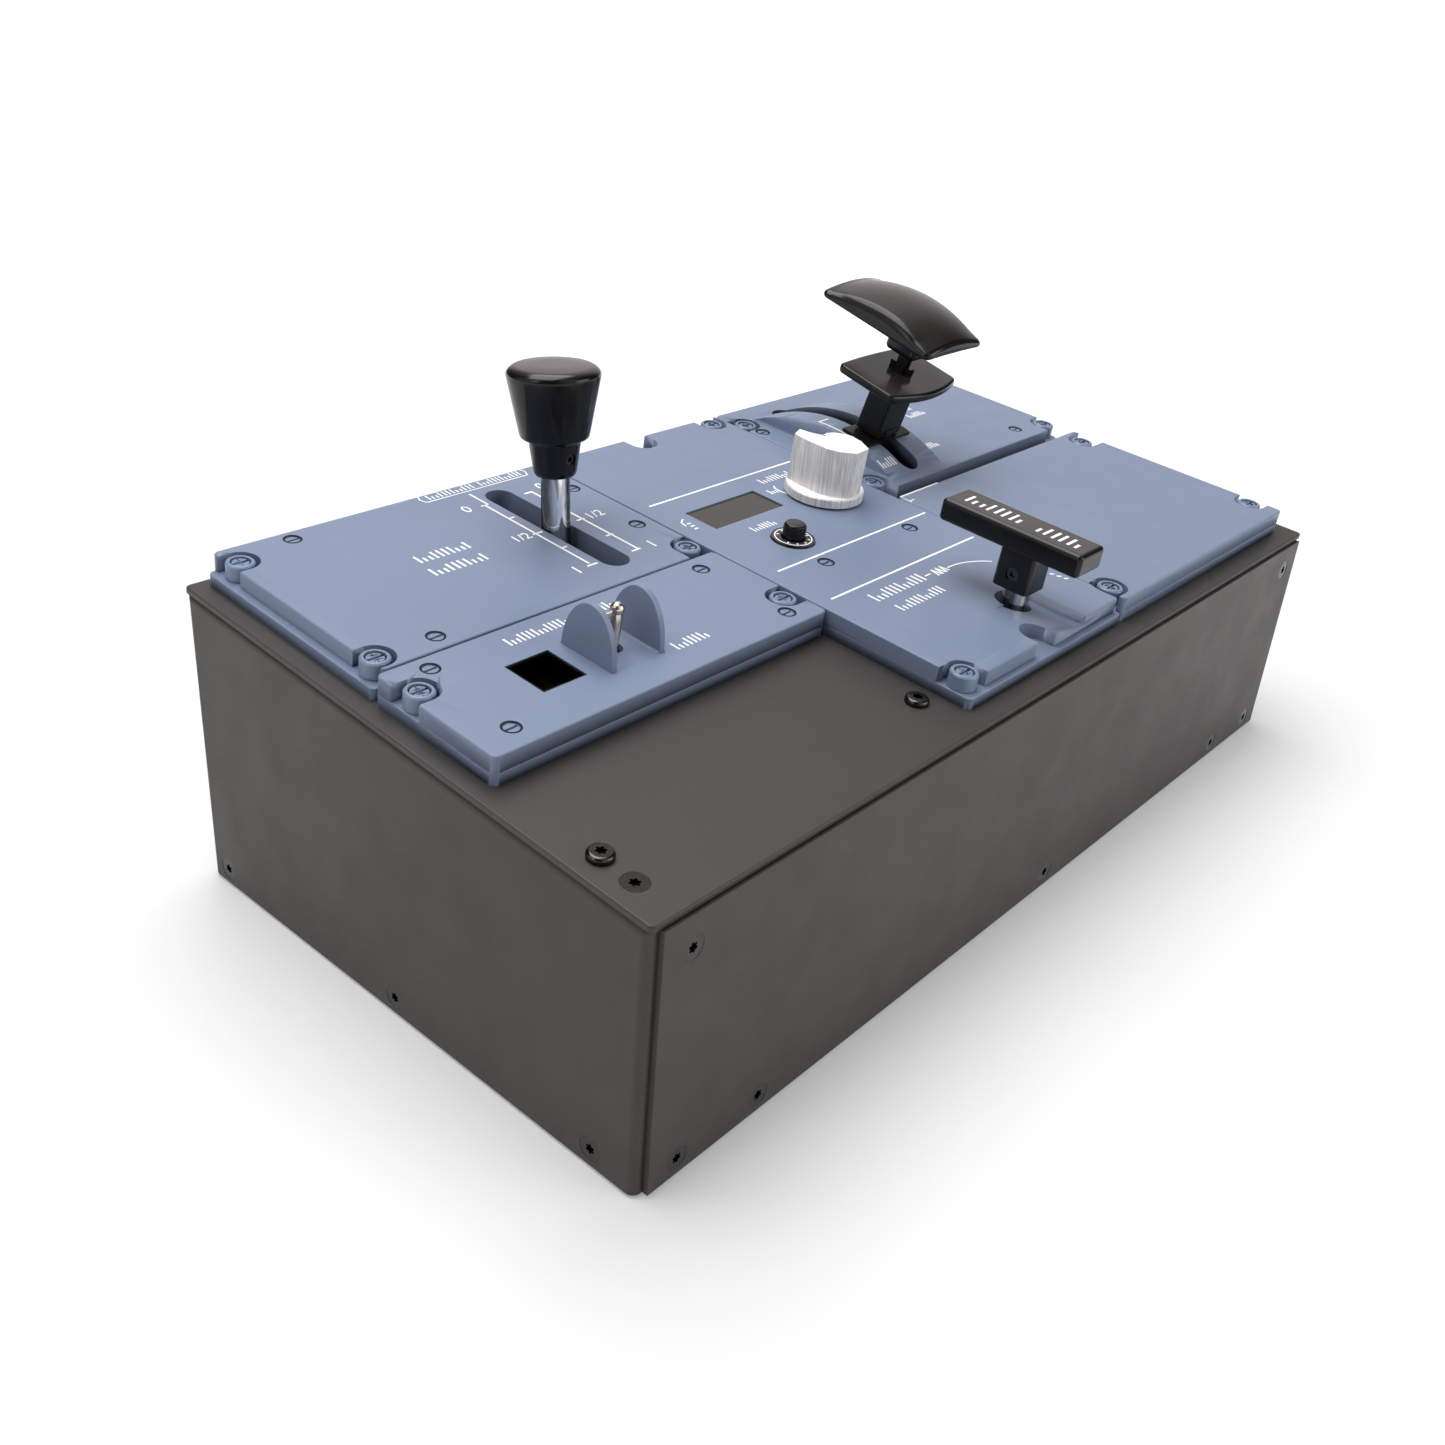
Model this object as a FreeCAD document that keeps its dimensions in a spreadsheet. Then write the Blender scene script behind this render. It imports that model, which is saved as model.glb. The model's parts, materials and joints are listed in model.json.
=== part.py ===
import FreeCAD, Part
import math
import os
import Sketcher
from FreeCAD import Placement, Rotation, Vector

# Desktop throttle-quadrant side console: a sheet-metal box with a sloping deck that carries five
# blue instrument panels, a speed brake lever, a flap lever, a trim knob, a push dial, a parking
# brake handle and a guarded toggle.  World frame: +Z up, the user sits on the -Y side, and the
# origin is under the middle of the box.  Deck frame: X to the right and Y rearwards along the
# slope from the deck's front left corner, Z square to the deck.

doc = FreeCAD.newDocument("console")
sizes = doc.addObject("Spreadsheet::Sheet", "Sizes")

DRIVING = [
    ("box_width", 410), ("deck_depth", 210), ("front_height", 92), ("slope", 5.3),
    ("sheet", 2), ("foot_height", 1), ("side_flange", 20), ("tray_flange", 14),
    ("face_proud", 1), ("corner_radius", 3), ("fit_gap", 0.05), ("clear_gap", 0.4),
    ("screw_head_radius", 4), ("screw_radius", 2), ("screw_length", 8), ("head_sink", 0.15),
    ("base_thick", 4), ("skin_thick", 5.8), ("panel_corner", 2.2), ("edge_round", 0.6),
    ("collar_radius", 4.8), ("stud_radius", 2.5), ("notch_radius", 6.4),
    ("brake_x", 119), ("brake_y", 154.4), ("pivot_drop", 55.2), ("brake_angle", -8.3),
    ("brake_slot_front", 128.9), ("brake_slot_rear", 199.5), ("brake_slot_width", 11.4),
    ("brake_rod_radius", 5.2), ("brake_knob_foot", 85), ("brake_knob_step", 98),
    ("brake_knob_top", 124), ("brake_knob_radius", 16.65),
    ("flap_x", 287), ("flap_y", 160), ("flap_angle", 10.7), ("hump_radius", 75.2),
    ("flap_slot_front", 123.5), ("flap_slot_rear", 200.5), ("flap_slot_width", 11.4),
    ("hump_half_width", 18.6), ("grip_width", 40), ("trigger_width", 47),
    ("trigger_level", 100.8), ("trigger_thick", 3.9), ("trigger_front", 18), ("trigger_rear", 16),
    ("stem_side", 4.4), ("stem_top", 118),
    ("pin_radius", 3), ("hub_radius", 11), ("hub_width", 12), ("cheek_inside", 15),
    ("gear_module", 0.8), ("gear_teeth", 48), ("pinion_teeth", 18), ("gear_thick", 4),
    ("trim_x", 231), ("trim_y", 129.3), ("trim_flange_radius", 15.7), ("trim_top", 33),
    ("dial_x", 187.4), ("dial_y", 109.5), ("dial_ring_radius", 8.5), ("dial_cap_radius", 4.3),
    ("park_x", 218.5), ("park_y", 33.3), ("park_post_radius", 4.4), ("park_bar_length", 56),
    ("toggle_x", 75.5), ("toggle_y", 91.3), ("toggle_pivot", 3.6), ("guard_height", 18.3),
    ("guard_depth", 22.4),
    ("lens_x", 48.9), ("lens_y", 92.7), ("lens_side", 17.4),
    ("window_x", 188.5), ("window_y", 138.8), ("window_wide", 39.5), ("window_deep", 15.8),
]
for row, (alias, value) in enumerate(DRIVING, start=1):
    sizes.set("A%d" % row, alias.replace("_", " "))
    sizes.set("B%d" % row, str(value))
    sizes.setAlias("B%d" % row, alias)
doc.recompute()

parts = []


def size(alias):
    """The value of one cell of the sheet."""
    return float(sizes.get(alias))


def bound(text):
    """An expression over the sheet: each alias gets the sheet's name in front."""
    words = []
    word = ""
    for letter in str(text) + " ":
        if letter.isalnum() or letter in "_.":
            word += letter
            continue
        words.append("Sizes." + word if word in ALIASES else word)
        words.append(letter)
        word = ""
    return "".join(words).strip()


ALIASES = {alias for alias, value in DRIVING}

PANEL_TOP = size("base_thick") + size("skin_thick")
DECK = Placement(
    Vector(-size("box_width") / 2, -size("deck_depth") / 2, size("front_height")),
    Rotation(Vector(1, 0, 0), size("slope")))


def deck_child(x, y, z, angle=0):
    """Placement of a piece whose own origin sits at deck point x, y, z and leans by angle."""
    return DECK.multiply(Placement(Vector(x, y, z), Rotation(Vector(1, 0, 0), angle)))


BRAKE_PIVOT = deck_child(size("brake_x"), size("brake_y"), -size("pivot_drop"))
BRAKE_LEVER = deck_child(
    size("brake_x"), size("brake_y"), -size("pivot_drop"), size("brake_angle"))
FLAP_PIVOT = deck_child(size("flap_x"), size("flap_y"), -size("pivot_drop"))
FLAP_LEVER = deck_child(size("flap_x"), size("flap_y"), -size("pivot_drop"), size("flap_angle"))
TRIM = deck_child(size("trim_x"), size("trim_y"), 0)
DIAL = deck_child(size("dial_x"), size("dial_y"), 0)
PARK = deck_child(size("park_x"), size("park_y"), 0)
TOGGLE = deck_child(size("toggle_x"), size("toggle_y"), 0)


# ---- small helpers -------------------------------------------------------------------------

def keep(item, node, place=None):
    """Mark an object as a finished piece, name it and put it in place."""
    item.Label = node
    if place is not None:
        item.Placement = place
    parts.append(item)
    return item


def new_body(name):
    return doc.addObject("PartDesign::Body", name)


def sketch_on(body, role, level="0"):
    """A sketch on one of the body's own origin planes, moved along the plane's normal."""
    sketch = body.newObject("Sketcher::SketchObject", body.Name + "Sketch")
    plane = [f for f in body.Origin.OriginFeatures if f.Role == role][0]
    sketch.AttachmentSupport = [(plane, "")]
    sketch.MapMode = "FlatFace"
    if level != "0":
        sketch.setExpression(".AttachmentOffset.Base.z", bound(level))
    return sketch


def tie(sketch, geometry, point, x, y):
    """Hold a point of the sketch at x, y, given as expressions."""
    for kind, axis, text in (("DistanceX", -2, x), ("DistanceY", -1, y)):
        if str(text) == "0":
            sketch.addConstraint(Sketcher.Constraint("PointOnObject", geometry, point, axis))
            continue
        at = sketch.addConstraint(
            Sketcher.Constraint(kind, -1, 1, geometry, point, reckon(text)))
        sketch.setExpression("Constraints[%d]" % at, bound(text))


def reckon(text):
    """The present value of an expression, used as the sketch's starting value."""
    names = {alias: size(alias) for alias in ALIASES}
    total = 0.0
    for term in str(text).replace("-", "+-").replace(" ", "").split("+"):
        if not term:
            continue
        sign = -1.0 if term.startswith("-") else 1.0
        term = term.lstrip("-")
        factors = term.replace("/", "*/").split("*")
        product = 1.0
        for factor in factors:
            divide = factor.startswith("/")
            factor = factor.lstrip("/")
            value = names[factor] if factor in names else float(factor)
            product = product / value if divide else product * value
        total += sign * product
    return total


def outline(sketch, corners):
    """A closed outline of straight lines through corners given as pairs of expressions."""
    points = [Vector(reckon(x), reckon(y), 0) for x, y in corners]
    first = sketch.GeometryCount
    count = len(corners)
    for i in range(count):
        sketch.addGeometry(Part.LineSegment(points[i], points[(i + 1) % count]), False)
    for i in range(count):
        after = first + (i + 1) % count
        sketch.addConstraint(Sketcher.Constraint("Coincident", first + i, 2, after, 1))
    for i, (x, y) in enumerate(corners):
        tie(sketch, first + i, 1, x, y)


def rectangle(sketch, x1, y1, x2, y2):
    outline(sketch, [(x1, y1), (x2, y1), (x2, y2), (x1, y2)])


def circle(sketch, x, y, radius):
    middle = Vector(reckon(x), reckon(y), 0)
    at = sketch.addGeometry(Part.Circle(middle, Vector(0, 0, 1), reckon(radius)), False)
    number = sketch.addConstraint(Sketcher.Constraint("Radius", at, reckon(radius)))
    sketch.setExpression("Constraints[%d]" % number, bound(radius))
    tie(sketch, at, 3, x, y)


def pad(body, sketch, length, reverse=False):
    feature = body.newObject("PartDesign::Pad", body.Name + "Pad")
    feature.Profile = sketch
    feature.setExpression("Length", bound(length))
    feature.Reversed = reverse
    return feature


def pocket(body, sketch, reverse=False):
    """Cut the sketch right through the body."""
    feature = body.newObject("PartDesign::Pocket", body.Name + "Pocket")
    feature.Profile = sketch
    feature.Type = "ThroughAll"
    feature.Reversed = reverse
    return feature


def turned(name, profile):
    """A body turned about Z from a profile of (radius, height) pairs of expressions."""
    body = new_body(name)
    sketch = sketch_on(body, "XZ_Plane")
    outline(sketch, profile)
    feature = body.newObject("PartDesign::Revolution", name + "Turn")
    feature.Profile = sketch
    feature.ReferenceAxis = (sketch, ["V_Axis"])
    feature.Angle = 360
    return body


def solid(name, shape):
    """A piece, or a tool for cutting, made by Part's own functions."""
    item = doc.addObject("Part::Feature", name)
    item.Shape = shape
    return item


def box(x1, y1, z1, x2, y2, z2):
    return Part.makeBox(x2 - x1, y2 - y1, z2 - z1, Vector(x1, y1, z1))


def rod(radius, start, end):
    """A round bar between two points."""
    along = end.sub(start)
    return Part.makeCylinder(radius, along.Length, start, along)


def joined(shapes):
    whole = shapes[0]
    for shape in shapes[1:]:
        whole = whole.fuse(shape)
    return whole.removeSplitter()


def cut(name, base, tools):
    """Part::Cut of one object by a list of shapes."""
    doc.recompute()
    result = doc.addObject("Part::Cut", name)
    result.Base = base
    result.Tool = solid(name + "Tool", Part.makeCompound(tools))
    return result


def rounded(name, base, radius, wanted):
    """Part::Fillet of the edges whose middle point passes the test."""
    doc.recompute()
    result = doc.addObject("Part::Fillet", name)
    result.Base = base
    edges = []
    for number, edge in enumerate(base.Shape.Edges, start=1):
        middle = edge.valueAt((edge.FirstParameter + edge.LastParameter) / 2)
        if wanted(middle, edge):
            edges.append((number, radius, radius))
    result.Edges = edges
    return result


def upright(middle, edge):
    """True for a straight edge along Z."""
    ends = [vertex.Point for vertex in edge.Vertexes]
    if len(ends) != 2:
        return False
    along = ends[1].sub(ends[0])
    return abs(along.z) > 0.99 * along.Length


# ---- fasteners -----------------------------------------------------------------------------

def countersunk(at, inward):
    """A flat-head screw that sits a little below the sheet's face at the point."""
    top = at + inward * size("head_sink")
    wide, narrow = size("screw_head_radius"), size("screw_radius")
    cone = Part.makeCone(wide, narrow, wide - narrow, top, inward)
    return joined([cone, rod(narrow, top, at + inward * size("screw_length"))])


def countersink(at, inward):
    """The hole for a flat-head screw."""
    narrow = size("screw_radius") + size("fit_gap")
    wide = size("screw_head_radius") + size("head_sink") + size("fit_gap")
    cone = Part.makeCone(wide, narrow, wide - narrow, at, inward)
    return joined([cone, rod(narrow, at, at + inward * (size("screw_length") + 1))])


def with_recess(screw, at, inward):
    """Cut the six-lobed drive into a screw's head."""
    depth = size("screw_length") * 0.16
    side = inward.cross(Vector(0.3, 0.5, 0.81)).normalize()
    recess = [rod(size("screw_radius") * 0.6, at, at + inward * depth)]
    for step in range(6):
        turn = Rotation(inward, 60 * step)
        lobe = at + turn.multVec(side * size("screw_radius") * 0.62)
        recess.append(rod(size("screw_radius") * 0.24, lobe, lobe + inward * depth))
    return screw.cut(joined(recess))


HALF_WIDTH = size("box_width") / 2
SIDE_FRONT = size("deck_depth") / 2 - size("face_proud")
FACE = size("deck_depth") / 2 + size("face_proud")
ROW_HEIGHT = 6.8
CORNER_X = HALF_WIDTH - 15
FRONT_SCREWS = [(-CORNER_X, 79), (CORNER_X, 79), (-CORNER_X, ROW_HEIGHT),
                (CORNER_X, ROW_HEIGHT), (-155, ROW_HEIGHT), (11, ROW_HEIGHT), (155, ROW_HEIGHT)]
SIDE_SCREWS = [-87, 0, 94]
DECK_SCREW_SINK = [(9.4, 15.2)]
DECK_SCREW_PAN = [(9.4, 27.8), (144.7, 21.9)]


def case_screw_places():
    """Every flat-head screw of the case as (point, inward direction)."""
    places = [(Vector(x, -FACE, z), Vector(0, 1, 0)) for x, z in FRONT_SCREWS]
    places += [(Vector(x, FACE, z), Vector(0, -1, 0)) for x, z in FRONT_SCREWS]
    places += [(Vector(-HALF_WIDTH, y, ROW_HEIGHT), Vector(1, 0, 0)) for y in SIDE_SCREWS]
    places += [(Vector(HALF_WIDTH, y, ROW_HEIGHT), Vector(-1, 0, 0)) for y in SIDE_SCREWS]
    down = DECK.Rotation.multVec(Vector(0, 0, -1))
    places += [(DECK.multVec(Vector(x, y, 0)), down) for x, y in DECK_SCREW_SINK]
    return places


def case_holes():
    return [countersink(at, inward) for at, inward in case_screw_places()]


def pan_holes():
    """Holes for the pan-head deck screws, in the deck frame."""
    radius = size("screw_radius") + size("fit_gap")
    return [rod(radius, Vector(x, y, -12), Vector(x, y, 1)) for x, y in DECK_SCREW_PAN]


def stud_holes():
    """Holes for the quarter-turn studs, in the deck frame."""
    radius = size("stud_radius") + size("fit_gap")
    return [rod(radius, Vector(x, y, -12), Vector(x, y, 1)) for x, y in STUDS]


def make_fasteners():
    shapes = []
    for at, inward in case_screw_places():
        top = at + inward * size("head_sink")
        shapes.append(with_recess(countersunk(at, inward), top, inward))
    keep(solid("CaseScrews", Part.makeCompound(shapes)), "case_screws")
    shapes = []
    for x, y in DECK_SCREW_PAN:
        foot = Vector(x, y, 0)
        head = Part.makeCylinder(size("screw_head_radius"), 2.2, foot)
        head = head.makeFillet(1.2, [head.Edges[0]])
        shank = rod(size("screw_radius"), foot, foot + Vector(0, 0, -size("screw_length")))
        top = foot + Vector(0, 0, 2.2)
        shapes.append(with_recess(joined([head, shank]), top, Vector(0, 0, -1)))
    keep(solid("DeckScrews", Part.makeCompound(shapes)), "deck_screws", DECK)


# ---- sheet-metal case ----------------------------------------------------------------------

def side_top(y):
    """Height of the underside of the deck above a world y."""
    angle = math.radians(size("slope"))
    rise = (y + size("deck_depth") / 2) * math.tan(angle)
    return size("front_height") + rise - size("sheet") / math.cos(angle)


def side_profile(inset):
    """Side view of the case as a closed outline, set in from the edge all round."""
    front = -SIDE_FRONT + inset
    rear = SIDE_FRONT - inset
    low = size("foot_height") + inset
    drop = inset / math.cos(math.radians(size("slope")))
    corners = [Vector(0, front, low), Vector(0, rear, low),
               Vector(0, rear, side_top(rear) - drop), Vector(0, front, side_top(front) - drop)]
    return Part.Face(Part.makePolygon(corners + corners[:1]))


def make_side(node, side):
    """Bent side pan: an outer wall with a return flange on all four edges."""
    outer = side_profile(0).extrude(Vector(-side * size("side_flange"), 0, 0))
    inner = side_profile(size("sheet")).extrude(Vector(-side * size("side_flange"), 0, 0))
    inner.translate(Vector(-side * size("sheet"), 0, 0))
    pan = outer.cut(inner)
    edges = []
    for edge in pan.Edges:
        middle = edge.valueAt((edge.FirstParameter + edge.LastParameter) / 2)
        if abs(middle.x) < 0.01 and (abs(middle.y) > SIDE_FRONT - 0.1 or middle.z > 50):
            edges.append(edge)
    pan = pan.makeFillet(size("corner_radius") - 0.1, edges)
    pan.translate(Vector(side * HALF_WIDTH, 0, 0))
    holes = case_holes()
    deck_holes = Part.makeCompound(pan_holes() + stud_holes())
    deck_holes.Placement = DECK
    keep(cut(node.title(), solid(node + "_pan", pan), holes + deck_holes.Solids), node)


def make_tray():
    """Bottom tray with a folded rim that the outer sheets screw to."""
    sheet = size("sheet")
    low = size("foot_height") + sheet
    rim = low + size("tray_flange")
    wide = HALF_WIDTH - sheet
    narrow = HALF_WIDTH - size("side_flange") - 0.5
    deep = SIDE_FRONT - sheet - 0.2
    shapes = [box(-wide, -deep, low, wide, deep, low + sheet),
              box(-narrow, -SIDE_FRONT, low, narrow, SIDE_FRONT, low + sheet)]
    for side in (-1, 1):
        front, back = sorted((side * SIDE_FRONT, side * (SIDE_FRONT - sheet)))
        shapes.append(box(-narrow, front, low, narrow, back, rim))
        left, right = sorted((side * wide, side * (wide - sheet)))
        shapes.append(box(left, -deep, low, right, deep, rim))
    keep(cut("BottomTray", solid("TrayBlank", joined(shapes)), case_holes()), "bottom_tray")


def make_faces():
    """Flat front and rear sheets, which stand a little proud of the side pans."""
    gap = size("clear_gap")
    width = HALF_WIDTH - size("corner_radius") - 0.6
    inlet = box(146.5, SIDE_FRONT - 1, 22.5, 159.5, FACE + 1, 34.5)
    for node, side, top in (("front_panel", -1, side_top(-FACE)),
                            ("rear_panel", 1, side_top(SIDE_FRONT))):
        body = new_body(node.title().replace("_", ""))
        sketch = sketch_on(body, "XZ_Plane")
        rectangle(sketch, "-box_width/2 + corner_radius + 0.6", "foot_height",
                  "box_width/2 - corner_radius - 0.6", round(top - gap, 2))
        pad(body, sketch, "sheet")
        body.Placement = Placement(
            Vector(0, -SIDE_FRONT if side < 0 else FACE, 0), Rotation())
        holes = case_holes() + ([inlet] if side > 0 else [])
        keep(cut(node.title(), body, holes), node)


def make_deck():
    """Sloping top sheet with an opening under every panel that has something below it."""
    body = new_body("Deck")
    sketch = sketch_on(body, "XY_Plane", "-sheet")
    rectangle(sketch, "0", "0", "box_width", "deck_depth + 0.5")
    pad(body, sketch, "sheet")
    openings = sketch_on(body, "XY_Plane", "-sheet")
    rectangle(openings, "brake_x - cheek_inside + 2", "122", "brake_x + cheek_inside - 2", "205")
    rectangle(openings, "flap_x - hump_half_width + 1", "122",
              "flap_x + hump_half_width - 1", "201")
    rectangle(openings, "toggle_x - 9.5", "toggle_y - 13", "toggle_x + 9.5", "toggle_y + 13")
    rectangle(openings, "lens_x - 9.5", "lens_y - 9.5", "lens_x + 9.5", "lens_y + 9.5")
    rectangle(openings, "window_x - 22", "window_y - 10", "window_x + 20", "window_y + 10")
    circle(openings, "trim_x", "trim_y", "13")
    circle(openings, "dial_x", "dial_y", "12")
    circle(openings, "park_x", "park_y", "15")
    pocket(body, openings, reverse=True)
    plate = rounded("DeckRound", body, 2.0,
                    lambda middle, edge: upright(middle, edge) and abs(middle.x - 205) > 200)
    plate = rounded("DeckEdge", plate, size("edge_round"),
                    lambda middle, edge: abs(middle.z) < 0.01 and on_rim(middle))
    down = Vector(0, 0, -1)
    tools = [countersink(Vector(x, y, 0), down) for x, y in DECK_SCREW_SINK]
    tools += pan_holes() + stud_holes()
    keep(cut("DeckPlate", plate, tools), "top_plate", DECK)


def on_rim(middle):
    """True for a point on the outer edge of the deck."""
    left, right = middle.x < 2, middle.x > size("box_width") - 2
    return left or right or middle.y < 2 or middle.y > size("deck_depth") - 2


def make_feet():
    """Four stick-on rubber feet under the side pans' lower flanges."""
    shapes = []
    for x in (-HALF_WIDTH + 12, HALF_WIDTH - 12):
        for y in (-SIDE_FRONT + 14, SIDE_FRONT - 14):
            foot = Part.makeCylinder(7, size("foot_height"), Vector(x, y, 0))
            shapes.append(foot.makeFillet(0.4, [foot.Edges[2]]))
    keep(solid("Feet", Part.makeCompound(shapes)), "rubber_feet")


# ---- instrument panels ---------------------------------------------------------------------
# Each panel is a base sheet with a thicker top layer.  Quarter-turn collars stand on the base
# in notches of the top layer, and each notch opens towards the edges that it names.

PANELS = {
    "speed_brake": {"base": (7, 120.2, 153.7, 207.8), "skin": (9.8, 120.2, 153.7, 209.4),
                    "collars": [(14.0, 199.5, "w"), (13.2, 127.6, "w"), (148.9, 127.1, "se")]},
    "door": {"base": (7, 67, 153.7, 119.4), "skin": (7, 67, 153.7, 119.4),
             "collars": [(12.2, 105.7, "w"), (148.1, 82.0, "e")]},
    "centre": {"base": (154.3, 8.4, 256.0, 209.4), "skin": (154.3, 10.8, 256.0, 209.4),
               "collars": [(159.4, 15.6, "sw"), (248.3, 204.2, "n")]},
    "flap": {"base": (256.4, 117.8, 400.3, 209.4), "skin": (256.4, 117.8, 400.3, 209.4),
             "collars": [(261.4, 195.9, "w"), (261.4, 126.4, "sw"), (395.4, 124.1, "se")]},
    "blank": {"base": (256.4, 8.4, 400.3, 110.6), "skin": (256.4, 8.4, 400.3, 110.6),
              "collars": [(261.4, 17.5, "w"), (391.8, 101.4, "e"), (395.2, 21.2, "e")]},
}
# Notches of the centre panel that hold no collar of its own: two spare ones, and room for the
# collar of the panel on its right.
OPEN_NOTCHES = {"centre": [(204.0, 15.0, "s"), (205.2, 204.6, "n"), (260.4, 17.5, "s")]}
PANEL_SCREWS = [(36.5, 203.9), (35.0, 126.9), (147.3, 185.5), (146.2, 149.8),
                (21.9, 113.0), (20.6, 75.9), (139.4, 112.0), (140.7, 74.3),
                (182.9, 90.4), (236.2, 90.7), (374.9, 127.3), (261.2, 186.0), (261.6, 136.4)]
STUDS = [(x, y) for panel in PANELS.values() for x, y, toward in panel["collars"]]


def notch(x, y, toward, z1, z2):
    """Clearance round a collar, open to the panel's edge on the sides named in toward."""
    radius = size("notch_radius")
    shapes = [Part.makeCylinder(radius, z2 - z1, Vector(x, y, z1))]
    reach = 16
    west = x - reach if "w" in toward else x
    east = x + reach if "e" in toward else x
    south = y - reach if "s" in toward else y
    north = y + reach if "n" in toward else y
    if west < east:
        shapes.append(box(west, y - radius, z1, east, y + radius, z2))
    if south < north:
        shapes.append(box(x - radius, south, z1, x + radius, north, z2))
    if len(toward) == 2:
        shapes.append(box(west, south, z1, east, north, z2))
    return joined(shapes)


def panel_openings(key, z1, z2):
    """Openings of a panel's two layers for the controls that it carries."""
    gap = size("fit_gap")
    if key == "speed_brake":
        x = size("brake_x")
        half = size("brake_slot_width") / 2
        front = size("brake_slot_front") + half
        rear = size("brake_slot_rear") - half
        return [joined([box(x - half, front, z1, x + half, rear, z2),
                        Part.makeCylinder(half, z2 - z1, Vector(x, front, z1)),
                        Part.makeCylinder(half, z2 - z1, Vector(x, rear, z1))])]
    if key == "door":
        x, y = size("lens_x"), size("lens_y")
        half = size("lens_side") / 2 + gap
        holes = [box(x - half, y - half, z1, x + half, y + half, z2)]
        x, y = size("toggle_x"), size("toggle_y")
        wide, deep = 11.6 + gap, size("guard_depth") / 2 + 0.3
        holes.append(box(x - wide, y - deep, z1, x + wide, y + deep, z2))
        return holes
    if key == "centre":
        wide = size("window_wide") / 2 + gap
        deep = size("window_deep") / 2 + gap
        x, y = size("window_x"), size("window_y")
        holes = [box(x - wide, y - deep, z1, x + wide, y + deep, z2)]
        for name, radius in (("trim", 5), ("dial", 6)):
            at = Vector(size(name + "_x"), size(name + "_y"), z1)
            holes.append(Part.makeCylinder(radius, z2 - z1, at))
        at = Vector(size("park_x"), size("park_y"), z1)
        holes.append(Part.makeCylinder(size("park_post_radius") + 2.4, z2 - z1, at))
        return holes
    if key == "flap":
        x = size("flap_x")
        half = size("flap_slot_width") / 2
        front = size("flap_slot_front") + half
        rear = size("flap_slot_rear") - half
        return [joined([box(x - half, front, z1, x + half, rear, z2),
                        Part.makeCylinder(half, z2 - z1, Vector(x, front, z1)),
                        Part.makeCylinder(half, z2 - z1, Vector(x, rear, z1))])]
    return []


def panel_screw(x, y, sink, extra=0.0):
    """Flat-head panel screw whose head sits below the panel's face by sink, or its hole."""
    top = Vector(x, y, PANEL_TOP - sink)
    wide = 3.1 + extra - sink
    narrow = 1.5 + extra
    cone = Part.makeCone(wide, narrow, wide - narrow, top, Vector(0, 0, -1))
    return joined([cone, rod(narrow, top, Vector(x, y, 1.5 - extra))])


def parking_ramp():
    """Finger hollow beside the parking handle: a wedge that deepens to a wall on its right."""
    left, right = size("park_x") - 13, size("park_x") + 12
    floor = PANEL_TOP - 3.4
    corners = [Vector(left, 0, PANEL_TOP + 1), Vector(left, 0, PANEL_TOP),
               Vector(right, 0, floor), Vector(right, 0, PANEL_TOP + 1)]
    wedge = Part.Face(Part.makePolygon(corners + corners[:1]))
    return wedge.extrude(Vector(0, size("park_y"), 0))


def hump():
    """Arched saddle over the flap slot, centred on the flap lever's pivot."""
    left = size("flap_x") - size("hump_half_width")
    width = 2 * size("hump_half_width")
    drum = Part.makeCylinder(
        size("hump_radius"), width,
        Vector(left, size("flap_y"), -size("pivot_drop")), Vector(1, 0, 0))
    bore = Part.makeCylinder(
        size("hump_radius") - 6, width,
        Vector(left, size("flap_y"), -size("pivot_drop")), Vector(1, 0, 0))
    slab = box(left, 118.5, size("base_thick"), left + width, 205, 40)
    return drum.common(slab), bore.common(box(left + 3, 124, -1, left + width - 3, 197, 40))


def layer(name, z1, z2, corners):
    """One layer of a panel as a padded rectangle in the deck frame."""
    body = new_body(name)
    sketch = sketch_on(body, "XY_Plane", z1)
    x1, y1, x2, y2 = corners
    rectangle(sketch, x1, y1, x2, y2)
    pad(body, sketch, z2)
    return rounded(name + "Round", body, size("panel_corner"), upright)


def make_panels():
    base_top = size("base_thick")
    for key, panel in PANELS.items():
        name = key.title().replace("_", "")
        gap = size("fit_gap")
        base = layer(name + "Base", "0", "base_thick", panel["base"])
        tools = panel_openings(key, -1, base_top + 1)
        x1, y1, x2, y2 = panel["base"]
        for x, y, toward in panel["collars"]:
            tools.append(rod(size("stud_radius") + gap, Vector(x, y, -1),
                             Vector(x, y, base_top + 1)))
        screws = [panel_screw(x, y, 0, gap) for x, y in PANEL_SCREWS
                  if x1 < x < x2 and y1 < y < y2]
        if key == "flap":
            arch, hollow = hump()
            tools.append(hollow)
        keep(cut(name + "BasePlate", base, tools + screws), key + "_base", DECK)

        blank = layer(name + "Skin", "base_thick", "skin_thick", panel["skin"])
        tools = panel_openings(key, base_top - 1, 40)
        notches = panel["collars"] + OPEN_NOTCHES.get(key, [])
        tools += [notch(x, y, toward, base_top, 12) for x, y, toward in notches]
        if key == "centre":
            tools.append(parking_ramp())
        if key == "flap":
            doc.recompute()
            whole = doc.addObject("Part::Fuse", "FlapSkinWhole")
            whole.Base = blank
            whole.Tool = solid("FlapHump", arch)
            blank = whole
            tools.append(hollow)
        keep(cut(name + "TopLayer", blank, tools + screws), key + "_top_layer", DECK)


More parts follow.
